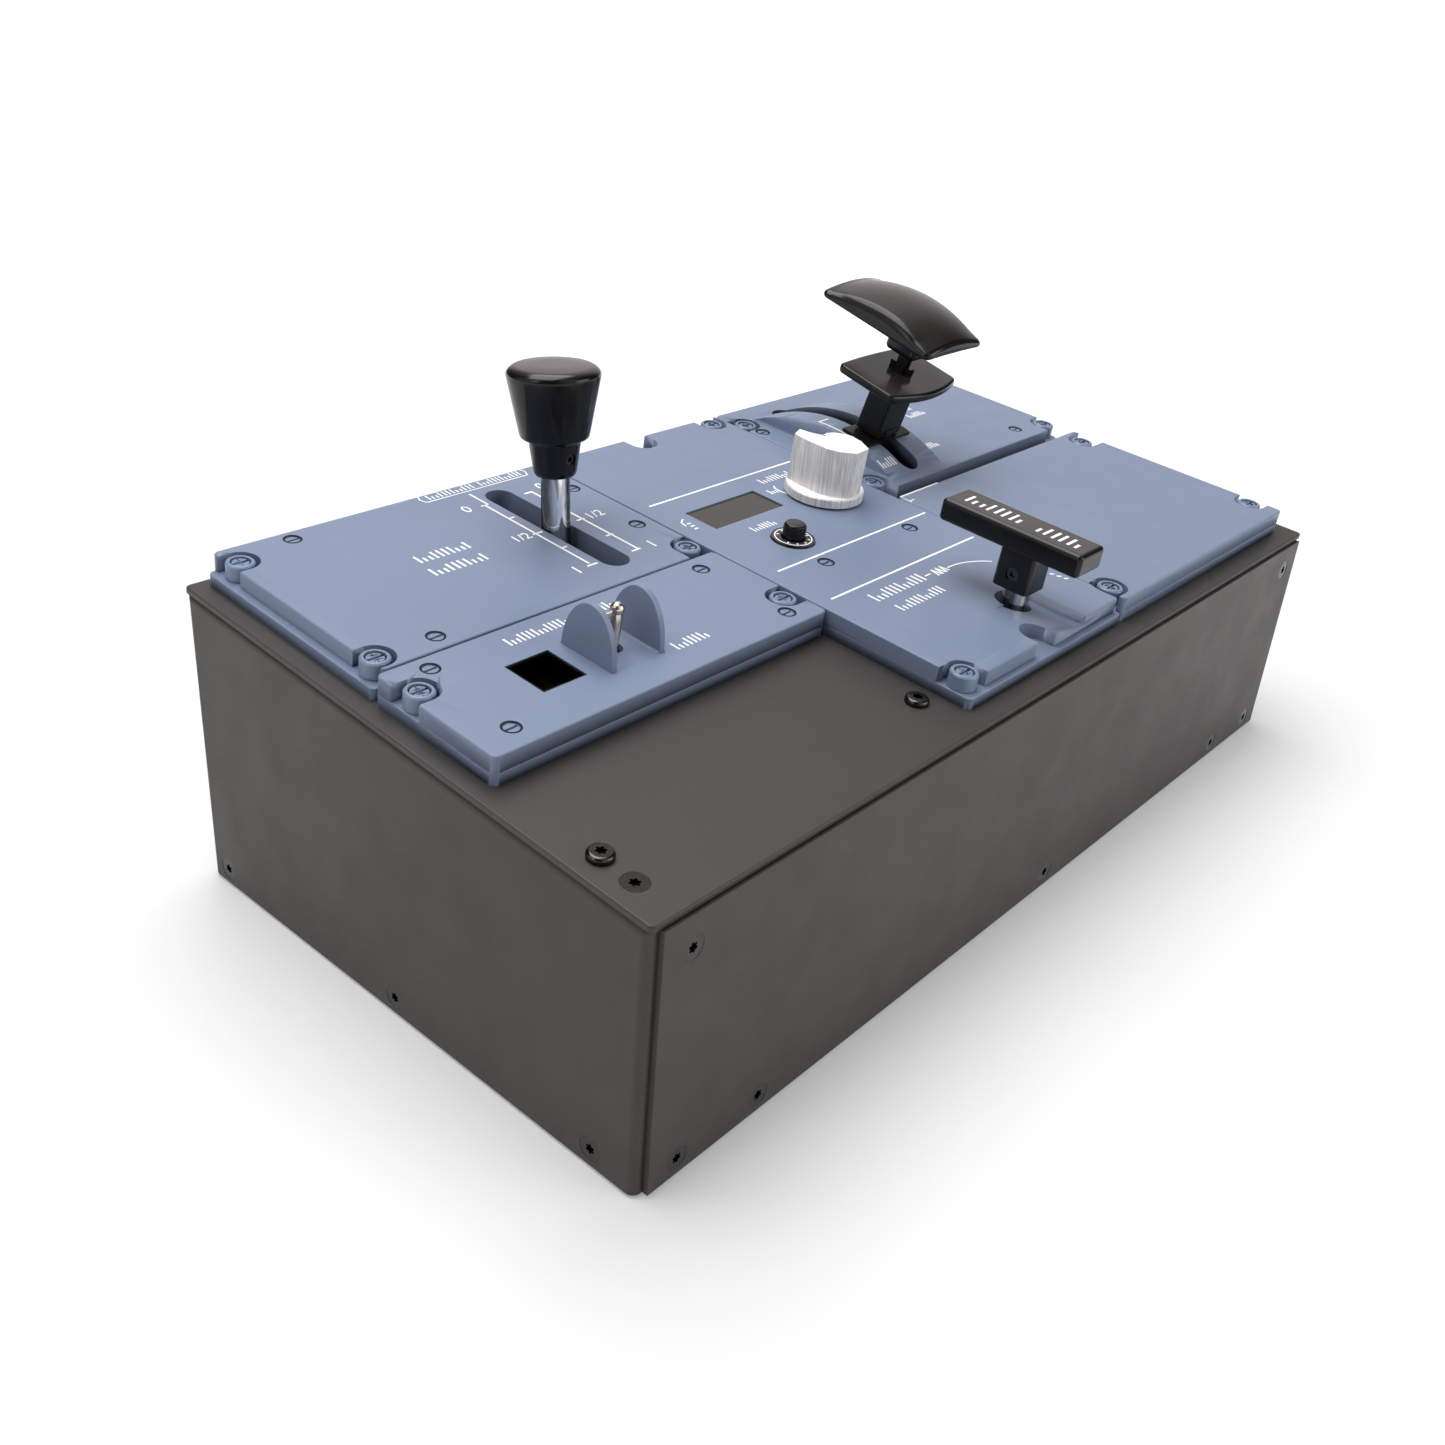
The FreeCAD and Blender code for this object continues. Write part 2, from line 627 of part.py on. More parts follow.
def make_panel_fasteners():
    """Quarter-turn collars and studs, and the slotted panel screws."""
    gap = size("fit_gap")
    base_top = size("base_thick")
    collars, studs, screws = [], [], []
    for x, y in STUDS:
        foot = Vector(x, y, base_top)
        ring = Part.makeCylinder(size("collar_radius"), size("skin_thick"), foot)
        ring = ring.makeChamfer(0.6, [ring.Edges[0]])
        bore = Part.makeCylinder(3.3 + gap, 3, Vector(x, y, PANEL_TOP - 2.4))
        through = rod(size("stud_radius") + gap, foot, Vector(x, y, PANEL_TOP))
        collars.append(ring.cut(bore).cut(through))
        head = Part.makeCylinder(2.9, 1.9, Vector(x, y, PANEL_TOP - 2.4))
        head = head.makeFillet(0.3, [head.Edges[0]])
        shank = rod(size("stud_radius"), Vector(x, y, -7.6), Vector(x, y, PANEL_TOP - 2))
        slot = box(x - 4, y - 0.5, PANEL_TOP - 1.4, x + 4, y + 0.5, PANEL_TOP)
        wings = box(x - 4.4, y - 1, -7.2, x + 4.4, y + 1, -4.6)
        studs.append(joined([head, shank, wings]).cut(slot))
    for x, y in PANEL_SCREWS:
        slot = box(x - 4, y - 0.45, PANEL_TOP - 1.3, x + 4, y + 0.45, PANEL_TOP + 1)
        screws.append(panel_screw(x, y, 0.4).cut(slot))
    keep(solid("Collars", Part.makeCompound(collars)), "stud_collars", DECK)
    keep(solid("Studs", Part.makeCompound(studs)), "quarter_turn_studs", DECK)
    keep(solid("PanelScrews", Part.makeCompound(screws)), "panel_screws", DECK)


# ---- gears ---------------------------------------------------------------------------------

def gear_outline(teeth, turn):
    """Involute spur gear outline in the YZ plane, with one tooth centred turn degrees from +Z."""
    module = size("gear_module")
    pitch = module * teeth / 2
    pressure = math.radians(20)
    base = pitch * math.cos(pressure)
    tip = pitch + 0.9 * module
    root = pitch - 1.15 * module
    backlash = 0.06 * module / pitch
    half_tooth = math.pi / (2 * teeth) + math.tan(pressure) - pressure - backlash
    flank = []
    for step in range(5):
        radius = max(base, root) + (tip - max(base, root)) * step / 4
        unwind = math.acos(min(1, base / radius))
        flank.append((radius, half_tooth - (math.tan(unwind) - unwind)))
    points = []
    for tooth in range(teeth):
        middle = math.radians(turn) + 2 * math.pi * tooth / teeth
        sides = [(root, -flank[0][1])] + [(r, -a) for r, a in flank]
        sides += [(r, a) for r, a in reversed(flank)] + [(root, flank[0][1])]
        for radius, angle in sides:
            around = middle + angle
            points.append(Vector(0, radius * math.sin(around), radius * math.cos(around)))
    return Part.Face(Part.makePolygon(points + points[:1]))


def lever_gear(start):
    """Gear disc on a lever's hub, in the lever frame, from start to start plus its thickness."""
    disc = gear_outline(int(size("gear_teeth")), 180).extrude(Vector(size("gear_thick"), 0, 0))
    disc.translate(Vector(start, 0, 0))
    return disc


def make_pinion(key, place):
    """Small gear and its shaft, which turn the position sensor."""
    distance = size("gear_module") * (size("gear_teeth") + size("pinion_teeth")) / 2
    half_pitch = 180 / size("pinion_teeth")
    # The lever gear's tooth points down at the lever's own lean, so the pinion turns to match.
    lean = size("brake_angle") if key == "speed_brake" else size("flap_angle")
    turn = half_pitch - lean * size("gear_teeth") / size("pinion_teeth")
    disc = gear_outline(int(size("pinion_teeth")), -turn).extrude(Vector(5, 0, 0))
    start = size("hub_width") / 2 - 0.5
    disc.translate(Vector(start, 0, -distance))
    shaft = rod(2, Vector(start - 2, 0, -distance),
                Vector(size("cheek_inside") + 11, 0, -distance))
    keep(solid(key + "_pinion_solid", joined([disc, shaft])), key + "_pinion", place)


pivot_pins = []


def make_mechanism(key, place):
    """Bracket under the deck with its pivot pin and position sensor, in the pivot's frame."""
    sheet = size("sheet")
    inside = size("cheek_inside")
    roof = size("pivot_drop") - sheet
    distance = size("gear_module") * (size("gear_teeth") + size("pinion_teeth")) / 2
    low = -distance - 12
    shapes = [box(-inside - sheet, -15, low, inside + sheet, 15, low + sheet)]
    for side in (-1, 1):
        near, far = sorted((side * inside, side * (inside + sheet)))
        shapes.append(box(near, -15, low, far, 15, roof))
        shapes.append(box(near, -30, roof - 14, far, 30, roof))
        near, far = sorted((side * inside, side * (inside + 10)))
        shapes.append(box(near, -30, roof - sheet, far, 30, roof))
    reach = inside + sheet + 1
    bracket = joined(shapes)
    pin_hole = rod(size("pin_radius") + size("fit_gap"), Vector(-reach, 0, 0),
                   Vector(reach, 0, 0))
    shaft_hole = rod(2 + size("fit_gap"), Vector(0, 0, -distance),
                     Vector(reach, 0, -distance))
    keep(cut(key + "_bracket_cut", solid(key + "_bracket_blank", bracket),
             [pin_hole, shaft_hole]), key + "_bracket", place)

    pin = rod(size("pin_radius"), Vector(-inside - sheet, 0, 0), Vector(inside + sheet, 0, 0))
    flange = size("pin_radius") + 1.5
    heads = [rod(flange, Vector(-reach - 0.5, 0, 0), Vector(-inside - sheet, 0, 0)),
             rod(flange, Vector(inside + sheet, 0, 0), Vector(reach + 0.5, 0, 0))]
    whole = joined([pin] + heads)
    whole.Placement = place
    pivot_pins.append(whole)

    start = inside + sheet
    case = rod(8.5, Vector(start, 0, -distance), Vector(start + 10, 0, -distance))
    tabs = box(start + 3, -4, -distance - 13, start + 4.5, 4, -distance - 6)
    bore = rod(2 + size("fit_gap"), Vector(start - 1, 0, -distance),
               Vector(start + 9.5, 0, -distance))
    sensor = joined([case, tabs]).cut(bore)
    keep(solid(key + "_sensor_solid", sensor), key + "_sensor", place)


# ---- speed brake ---------------------------------------------------------------------------

def make_speed_brake():
    """Round lever: a hub that swings on the pin and a polished rod that lifts in its socket."""
    hub_half = size("hub_width") / 2
    gap = size("fit_gap")
    hub = rod(size("hub_radius"), Vector(-hub_half, 0, 0), Vector(hub_half, 0, 0))
    socket = rod(8.5, Vector(0, 0, 4), Vector(0, 0, 38))
    gear = lever_gear(hub_half)
    bore = rod(size("pin_radius") + gap, Vector(-20, 0, 0), Vector(20, 0, 0))
    well = rod(size("brake_rod_radius") + gap, Vector(0, 0, 13), Vector(0, 0, 39))
    keep(solid("BrakeHub", joined([hub, socket, gear]).cut(bore).cut(well)),
         "speed_brake_hub", BRAKE_LEVER)
    make_mechanism("speed_brake", BRAKE_PIVOT)
    make_pinion("speed_brake", BRAKE_PIVOT)

    shaft = turned("BrakeShaft", [("0", "14"), ("brake_rod_radius", "14"),
                                  ("brake_rod_radius", "brake_knob_top - 14"),
                                  ("0", "brake_knob_top - 14")])
    keep(shaft, "speed_brake_rod", BRAKE_LEVER)

    knob = turned("BrakeKnob", [
        ("brake_rod_radius", "brake_knob_foot"), ("7", "brake_knob_foot"),
        ("7.7", "brake_knob_foot + 1.4"), ("9.1", "brake_knob_step - 0.6"),
        ("9.7", "brake_knob_step"), ("11.9", "brake_knob_step + 1"),
        ("12.9", "brake_knob_step + 4.4"), ("brake_knob_radius", "brake_knob_top - 3.8"),
        ("brake_knob_radius - 0.5", "brake_knob_top - 2"),
        ("brake_knob_radius - 1.8", "brake_knob_top - 0.8"),
        ("brake_knob_radius - 4", "brake_knob_top - 0.3"), ("0", "brake_knob_top"),
        ("0", "brake_knob_top - 14"), ("brake_rod_radius", "brake_knob_top - 14")])
    doc.recompute()
    level = size("brake_knob_foot") + 7
    thread = rod(2, Vector(0, 0, level), Vector(0, -12, level))
    keep(cut("BrakeKnobCut", knob, [thread]), "speed_brake_knob", BRAKE_LEVER)
    screw = rod(1.95, Vector(0, -size("brake_rod_radius"), level), Vector(0, -7.6, level))
    keep(solid("BrakeGrub", screw.cut(rod(1, Vector(0, -6.6, level), Vector(0, -9, level)))),
         "speed_brake_grub_screw", BRAKE_LEVER)


# ---- flaps ---------------------------------------------------------------------------------

def flap_grip_shape():
    """Wing-section grip: a flat underside, an arched top and rounded ends."""
    under = Part.LineSegment(Vector(0, -17.2, 122.3), Vector(0, 34.2, 122.6))
    rear = Part.Arc(Vector(0, 34.2, 122.6), Vector(0, 37, 126.2), Vector(0, 33.4, 129.2))
    top = Part.Arc(Vector(0, 33.4, 129.2), Vector(0, 9, 134.4), Vector(0, -18, 128.8))
    front = Part.Arc(Vector(0, -18, 128.8), Vector(0, -20.4, 125.4), Vector(0, -17.2, 122.3))
    section = Part.Face(Part.Wire([curve.toShape() for curve in (under, rear, top, front)]))
    half = size("grip_width") / 2
    wing = section.extrude(Vector(2 * half, 0, 0))
    wing.translate(Vector(-half, 0, 0))
    ends = [edge for edge in wing.Edges if abs(abs(edge.CenterOfMass.x) - half) < 0.01]
    wing = wing.makeFillet(2.4, ends)
    boss = box(-8.5, -8, 113.6, 8.5, 7.6, 124)
    boss = boss.makeFillet(2.6, [edge for edge in boss.Edges if upright(None, edge)])
    return joined([wing, boss])


def make_flaps():
    """Flat lever through the arched slot, with a wing grip and a lift-up trigger below it."""
    hub_half = size("hub_width") / 2
    gap = size("fit_gap")
    level = size("trigger_level")
    stem_half = size("stem_side") / 2
    top = level + size("trigger_thick")
    pin_level = top + 2.2
    hub = rod(size("hub_radius"), Vector(-hub_half, 0, 0), Vector(hub_half, 0, 0))
    blade = box(-3, -6.2, 5, 3, 6.2, 80)
    block = box(-8.5, -5.8, 77.4, 8.5, 6, level - 0.5)
    block = block.makeFillet(1.0, [edge for edge in block.Edges if upright(None, edge)])
    stem = box(-stem_half, -stem_half, 90, stem_half, stem_half, size("stem_top"))
    gear = lever_gear(hub_half)
    bore = rod(size("pin_radius") + gap, Vector(-20, 0, 0), Vector(20, 0, 0))
    wells = [rod(1.9, Vector(x, 0, level - 14), Vector(x, 0, level)) for x in (-6.2, 6.2)]
    slot = box(-0.95, -6, pin_level - 1, 0.95, 6, pin_level + 6)
    arm = joined([hub, blade, block, stem, gear]).cut(bore)
    for tool in wells + [slot]:
        arm = arm.cut(tool)
    keep(solid("FlapArm", arm), "flap_arm", FLAP_LEVER)
    make_mechanism("flap", FLAP_PIVOT)
    make_pinion("flap", FLAP_PIVOT)

    pocket_shape = box(-stem_half, -stem_half, 110, stem_half, stem_half, size("stem_top"))
    grip = flap_grip_shape().cut(pocket_shape)
    keep(solid("FlapGrip", grip), "flap_grip", FLAP_LEVER)

    half = size("trigger_width") / 2
    rear, bow = size("trigger_rear"), size("trigger_front")
    corner = 4.6 - bow
    corners = [Vector(-half, corner, level), Vector(half, corner, level),
               Vector(half, rear - 1, level), Vector(-half, rear - 1, level)]
    edges = [Part.Arc(corners[0], Vector(0, -bow, level), corners[1]).toShape(),
             Part.makeLine(corners[1], corners[2]),
             Part.Arc(corners[2], Vector(0, rear, level), corners[3]).toShape(),
             Part.makeLine(corners[3], corners[0])]
    plate = Part.Face(Part.Wire(edges)).extrude(Vector(0, 0, size("trigger_thick")))
    plate = plate.makeFillet(3.0, [edge for edge in plate.Edges if upright(None, edge)])
    rims = [edge for edge in plate.Edges if edge.BoundBox.ZLength < 0.01]
    plate = plate.makeFillet(1.5, rims)
    lugs = [box(-1.5, side * 4 - 1.1, top - 1, 1.5, side * 4 + 1.1, pin_level + 1.2)
            for side in (-1, 1)]
    gap_half = stem_half + 0.4
    window = box(-gap_half, -gap_half, level - 1, gap_half, gap_half, top + 9)
    pin_hole = rod(0.8, Vector(0, -12, pin_level), Vector(0, 12, pin_level))
    hooks = [rod(0.6, Vector(x, 0, level - 2), Vector(x, 0, level + 1)) for x in (-6.2, 6.2)]
    trigger = joined([plate] + lugs).cut(window).cut(pin_hole)
    keep(solid("FlapTrigger", joined([trigger] + hooks)), "flap_trigger", FLAP_LEVER)
    pin = rod(0.8, Vector(0, -5.7, pin_level), Vector(0, 5.7, pin_level))
    keep(solid("TriggerPin", pin), "flap_trigger_pin", FLAP_LEVER)

    springs = []
    for x in (-6.2, 6.2):
        helix = Part.makeHelix(1.5, 10.5, 1.2)
        section = Part.Wire(Part.makeCircle(0.3, Vector(1.2, 0, 0), Vector(0, 1, 0)))
        coil = Part.Wire(helix).makePipeShell([section], True, True)
        coil.translate(Vector(x, 0, level - 13.4))
        springs.append(coil)
    keep(solid("TriggerSprings", Part.makeCompound(springs)), "flap_trigger_springs",
         FLAP_LEVER)

    saddle = size("hump_radius") + size("clear_gap")
    shell = Part.makeCylinder(saddle + 1.2, 34, Vector(-17, 0, 0), Vector(1, 0, 0))
    shell = shell.cut(Part.makeCylinder(saddle, 34, Vector(-17, 0, 0), Vector(1, 0, 0)))
    wedge = box(-15, -7.3, 60, 15, 7.3, 90)
    pointer = shell.common(wedge).cut(box(-3, -6.2, 60, 3, 6.2, 90))
    keep(solid("FlapPointer", pointer), "flap_pointer", FLAP_LEVER)


# ---- trim knob, dial and display -----------------------------------------------------------

TRIM_OUTLINE = [(-9.3, 12), (-3.5, 14.3), (-1.8, 8.4), (-0.1, 5.5), (3.6, 5.9), (6.3, 4.9),
                (8.9, 2), (10.2, -1.8), (9, -7.1), (5.3, -13.4), (-3.2, -14.3), (-8.2, -9.4),
                (-10.2, -4.9), (-10.2, 4)]


def make_trim():
    body = new_body("TrimKnob")
    disc = sketch_on(body, "XY_Plane", "base_thick + skin_thick + 0.5")
    circle(disc, "0", "0", "trim_flange_radius")
    circle(disc, "0", "0", "3")
    pad(body, disc, "3.9")
    grip = sketch_on(body, "XY_Plane", "base_thick + skin_thick + 0.5")
    outline(grip, [(str(x), str(y)) for x, y in TRIM_OUTLINE])
    circle(grip, "0", "0", "3")
    pad(body, grip, "trim_top - base_thick - skin_thick - 0.5")
    cap = sketch_on(body, "XY_Plane", "trim_top - 3")
    circle(cap, "0", "0", "3.5")
    pad(body, cap, "3")
    keep(body, "trim_knob", TRIM)
    shaft = turned("TrimShaft", [("0", "-14"), ("3", "-14"), ("3", "trim_top - 3"),
                                 ("0", "trim_top - 3")])
    keep(shaft, "trim_shaft", TRIM)
    encoder = turned("TrimEncoder", [
        ("3 + fit_gap", "-20"), ("11", "-20"), ("11", "0"), ("5", "0"),
        ("5", "base_thick + skin_thick"), ("3 + fit_gap", "base_thick + skin_thick")])
    keep(encoder, "trim_encoder", TRIM)


def make_dial():
    ring = turned("DialRing", [
        ("dial_cap_radius + 0.35", "base_thick + skin_thick"),
        ("dial_ring_radius", "base_thick + skin_thick"),
        ("dial_ring_radius - 0.3", "base_thick + skin_thick + 0.8"),
        ("dial_cap_radius + 0.35", "base_thick + skin_thick + 0.8")])
    keep(ring, "dial_ring", DIAL)
    cap = turned("DialCap", [
        ("2 + fit_gap", "9"), ("dial_cap_radius", "9"), ("dial_cap_radius - 0.2", "15.8"),
        ("dial_cap_radius - 0.7", "16.4"), ("0", "16.4"), ("0", "13.4"),
        ("2 + fit_gap", "13.4")])
    keep(cap, "dial_cap", DIAL)
    stem = turned("DialStem", [("0", "-10"), ("2", "-10"), ("2", "13"), ("0", "13")])
    keep(stem, "dial_stem", DIAL)
    switch = turned("DialSwitch", [
        ("2 + fit_gap", "-18"), ("10", "-18"), ("10", "0"), ("6", "0"), ("6", "7"),
        ("2 + fit_gap", "7")])
    keep(switch, "dial_switch", DIAL)


def make_display():
    wide, deep = size("window_wide") / 2, size("window_deep") / 2
    window = box(-wide, -deep, 6.8, wide, deep, PANEL_TOP - 0.5)
    place = deck_child(size("window_x"), size("window_y"), 0)
    keep(solid("Window", window), "display_window", place)
    module = joined([box(-wide, -deep, 0, wide, deep, 6.8),
                     box(-wide - 1.2, -deep - 1.2, -4, wide - 1, deep + 1.2, 0)])
    keep(solid("Module", module), "display_module", place)


# ---- parking brake -------------------------------------------------------------------------

def make_park_brake():
    """T handle on a chrome post that lifts, then turns a rotary switch."""
    radius = size("park_post_radius")
    gap = size("fit_gap")
    half = size("park_bar_length") / 2
    bar = box(-9, 4.2 - half, 30.2, 7.8, 4.2 + half, 38.8)
    bar = bar.makeFillet(1.8, bar.Edges)
    block = box(-6.7, -7, 15.6, 6.7, 7, 31.4)
    block = block.makeFillet(1.8, [edge for edge in block.Edges if upright(None, edge)])
    socket = rod(radius, Vector(0, 0, 12), Vector(0, 0, 27))
    thread = rod(2.6, Vector(-12, 0, 21.4), Vector(0, 0, 21.4))
    keep(solid("ParkHandle", joined([bar, block]).cut(socket).cut(thread)), "park_handle", PARK)
    screw = rod(2.55, Vector(-radius, 0, 21.4), Vector(-6.1, 0, 21.4))
    keep(solid("ParkGrub", screw.cut(rod(1.2, Vector(-5.2, 0, 21.4), Vector(-8, 0, 21.4)))),
         "park_grub_screw", PARK)
    post = turned("ParkPost", [("0", "-24"), ("3", "-24"), ("3", "-8"),
                               ("park_post_radius", "-8"), ("park_post_radius", "27"),
                               ("0", "27")])
    keep(post, "park_post", PARK)
    collar = turned("ParkCollar", [("3 + fit_gap", "-16"), ("8", "-16"), ("8", "-9"),
                                   ("3 + fit_gap", "-9")])
    keep(collar, "park_lift_collar", PARK)
    case = rod(13, Vector(0, 0, -30), Vector(0, 0, 0))
    well = rod(8 + gap, Vector(0, 0, -28), Vector(0, 0, -2))
    mouth = rod(radius + gap, Vector(0, 0, -3), Vector(0, 0, 1))
    bush = rod(radius + 1.4, Vector(0, 0, -1), Vector(0, 0, 4.6))
    throat = rod(radius + gap, Vector(0, 0, -2), Vector(0, 0, 6))
    keep(solid("ParkSwitch", joined([case, bush]).cut(well).cut(mouth).cut(throat)),
         "park_switch", PARK)


# ---- guarded toggle and indicator ----------------------------------------------------------

def make_toggle():
    deep = size("guard_depth") / 2
    floor = box(-11.6, -deep - 0.3, size("base_thick"), 11.6, deep + 0.3, PANEL_TOP - 0.3)
    ears = []
    for side in (-1, 1):
        near, far = sorted((side * 9.3, side * 11.6))
        ear = Part.makeCylinder(deep, far - near, Vector(near, 0, 0), Vector(1, 0, 0))
        stretch = FreeCAD.Matrix()
        stretch.scale(Vector(1, 1, size("guard_height") / deep))
        ear = ear.transformGeometry(stretch)
        ear.translate(Vector(0, 0, PANEL_TOP))
        slab = box(near, -deep - 1, PANEL_TOP - 1, far, deep + 1, PANEL_TOP + 30)
        foot = box(near, -deep, PANEL_TOP - 1, far, deep, PANEL_TOP)
        ears.append(joined([ear.common(slab.cut(foot)), foot]))
    pivot = size("toggle_pivot")
    throat_top = 7.2
    hole = joined([rod(6, Vector(0, 0, 0), Vector(0, 0, throat_top)),
                   rod(3.3, Vector(0, 0, 0), Vector(0, 0, 20))])
    keep(solid("ToggleGuard", joined([floor] + ears).cut(hole)), "toggle_guard", TOGGLE)

    bat = turned("ToggleBat", [
        ("0", "toggle_pivot"), ("1.4", "toggle_pivot"), ("1.4", "8"), ("1.5", "10"),
        ("2.05", "22"), ("0", "22")])
    doc.recompute()
    ball = doc.addObject("Part::Fuse", "ToggleBatWhole")
    ball.Base = bat
    tip = joined([Part.makeSphere(2.6, Vector(0, 0, pivot)), Part.makeSphere(2.35, Vector(0, 0, 23.2)),
                  rod(1.0, Vector(-3.6, 0, pivot), Vector(3.6, 0, pivot)),
                  box(-5.6, -0.7, 20.2, -1.2, 0.7, 23.6)])
    ball.Tool = solid("ToggleTip", tip)
    keep(ball, "toggle_bat", TOGGLE)

    case = box(-8.5, -12, -20, 8.5, 12, 0)
    bush = rod(5.9, Vector(0, 0, -1), Vector(0, 0, throat_top - 0.3))
    ball_seat = Part.makeSphere(2.65, Vector(0, 0, pivot))
    pin_seat = rod(1.0 + size("fit_gap"), Vector(-3.7, 0, pivot), Vector(3.7, 0, pivot))
    flare = Part.makeCone(1.95, 2.6, 2, Vector(0, 0, pivot + 1.4), Vector(0, 0, 1))
    switch = joined([case, bush]).cut(ball_seat).cut(pin_seat).cut(flare)
    keep(solid("ToggleSwitch", switch), "toggle_switch", TOGGLE)

    half = size("lens_side") / 2
    place = deck_child(size("lens_x"), size("lens_y"), 0)
    lamp = box(-half, -half, -9, half, half, PANEL_TOP - 0.3)
    inner = half - 0.8
    lamp = lamp.cut(box(-inner, -inner, 2.4, inner, inner, PANEL_TOP))
    keep(solid("Indicator", lamp), "indicator_lamp", place)


# ---- electronics ---------------------------------------------------------------------------

def make_electronics():
    floor = size("foot_height") + 2 * size("sheet")
    left, front = 116, 30
    board = box(left, front, floor + 6, left + 68, front + 60, floor + 7.6)
    legs = []
    for x in (left + 4, left + 64):
        for y in (front + 4, front + 56):
            board = board.cut(rod(1.6, Vector(x, y, floor), Vector(x, y, floor + 9)))
            pillar = rod(3, Vector(x, y, floor), Vector(x, y, floor + 6))
            peg = rod(1.55, Vector(x, y, floor + 6), Vector(x, y, floor + 9))
            legs.append(joined([pillar, peg]))
    chips = [box(left + 16, front + 20, floor + 7.6, left + 28, front + 32, floor + 9.2),
             box(left + 42, front + 10, floor + 7.6, left + 52, front + 18, floor + 10),
             box(left + 10, front + 48, floor + 7.6, left + 42, front + 54, floor + 15)]
    keep(solid("Board", joined([board] + chips)), "controller_board")
    keep(solid("Spacers", Part.makeCompound(legs)), "board_spacers")
    shell = box(147, SIDE_FRONT - 14, 23, 159, FACE, 34)
    flange = box(143, SIDE_FRONT - 2, 20, 163, SIDE_FRONT, 37)
    mouth = box(148.6, SIDE_FRONT - 7, 24.6, 157.4, FACE + 1, 32.4)
    tongue = box(150.4, SIDE_FRONT - 8, 27.2, 155.6, FACE - 4.5, 29.8)
    keep(solid("Inlet", joined([joined([shell, flange]).cut(mouth), tongue])), "usb_inlet")


# ---- build ---------------------------------------------------------------------------------

for node_name, side_sign in (("left_panel", -1), ("right_panel", 1)):
    make_side(node_name, side_sign)
make_tray()
make_faces()
make_deck()
make_feet()
make_fasteners()
make_panels()
make_panel_fasteners()
make_speed_brake()
make_flaps()
keep(solid("PivotPins", Part.makeCompound(pivot_pins)), "lever_pivot_pins")
make_trim()
make_dial()
make_display()
make_park_brake()
make_toggle()
make_electronics()
doc.recompute()

for item in doc.Objects:
    if "Invalid" in item.State or "Error" in item.State:
        raise RuntimeError("failed object: %s %s" % (item.Name, item.State))
names = [piece.Label for piece in parts]
if len(names) != len(set(names)):
    raise RuntimeError("two pieces share a name")
for piece in parts:
    shape = piece.Shape
    if shape.isNull() or not shape.isValid() or not shape.Solids:
        raise RuntimeError("bad shape: " + piece.Label)

os.makedirs("parts", exist_ok=True)
for piece in parts:
    piece.Shape.exportStep(os.path.join("parts", piece.Label + ".step"))
print(len(parts), "pieces written")
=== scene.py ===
import json
import math
import random

import bmesh
import bpy
from mathutils import Matrix, Vector

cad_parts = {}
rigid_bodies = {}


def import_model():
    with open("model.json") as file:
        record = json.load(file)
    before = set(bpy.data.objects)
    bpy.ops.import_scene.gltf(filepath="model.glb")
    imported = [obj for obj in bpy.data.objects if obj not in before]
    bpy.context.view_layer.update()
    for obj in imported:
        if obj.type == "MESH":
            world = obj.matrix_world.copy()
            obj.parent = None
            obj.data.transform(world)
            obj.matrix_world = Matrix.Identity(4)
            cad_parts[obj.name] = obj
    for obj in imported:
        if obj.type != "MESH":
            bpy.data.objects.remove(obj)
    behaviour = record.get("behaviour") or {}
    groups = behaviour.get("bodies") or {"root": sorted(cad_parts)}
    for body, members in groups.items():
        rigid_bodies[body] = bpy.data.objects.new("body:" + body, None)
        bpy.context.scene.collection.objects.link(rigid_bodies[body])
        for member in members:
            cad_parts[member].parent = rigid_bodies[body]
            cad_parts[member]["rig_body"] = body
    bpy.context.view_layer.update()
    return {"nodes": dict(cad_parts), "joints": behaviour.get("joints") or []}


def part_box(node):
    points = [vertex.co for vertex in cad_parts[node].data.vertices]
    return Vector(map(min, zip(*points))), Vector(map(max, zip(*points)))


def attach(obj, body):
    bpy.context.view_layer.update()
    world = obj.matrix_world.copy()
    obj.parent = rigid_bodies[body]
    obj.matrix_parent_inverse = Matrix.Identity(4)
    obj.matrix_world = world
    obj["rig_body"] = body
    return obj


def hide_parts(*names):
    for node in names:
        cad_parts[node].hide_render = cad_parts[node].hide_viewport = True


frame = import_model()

# A desktop flight console: black sheet-metal box, five blue panels, levers, knobs and a toggle.
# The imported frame's joints place the moving pieces and its top plate places the deck.

MM = 0.001
JOINTS = {joint["name"]: joint for joint in frame["joints"]}
NODES = frame["nodes"]


# ---- places --------------------------------------------------------------------------------

def axis_of(name):
    """The unit direction of a joint."""
    return Vector(JOINTS[name]["axis"]).normalized()


def place_of(name):
    """A point on a joint's axis, in metres."""
    return Vector(JOINTS[name]["pos_m"])


def frame_at(origin, up):
    """Matrix of a local frame in millimetres: X to the right, Z along up, Y away from the user."""
    right = Vector((1, 0, 0))
    back = up.cross(right).normalized()
    turn = Matrix((right, back, up)).transposed().to_4x4()
    return Matrix.Translation(origin) @ turn @ Matrix.Scale(MM, 4)


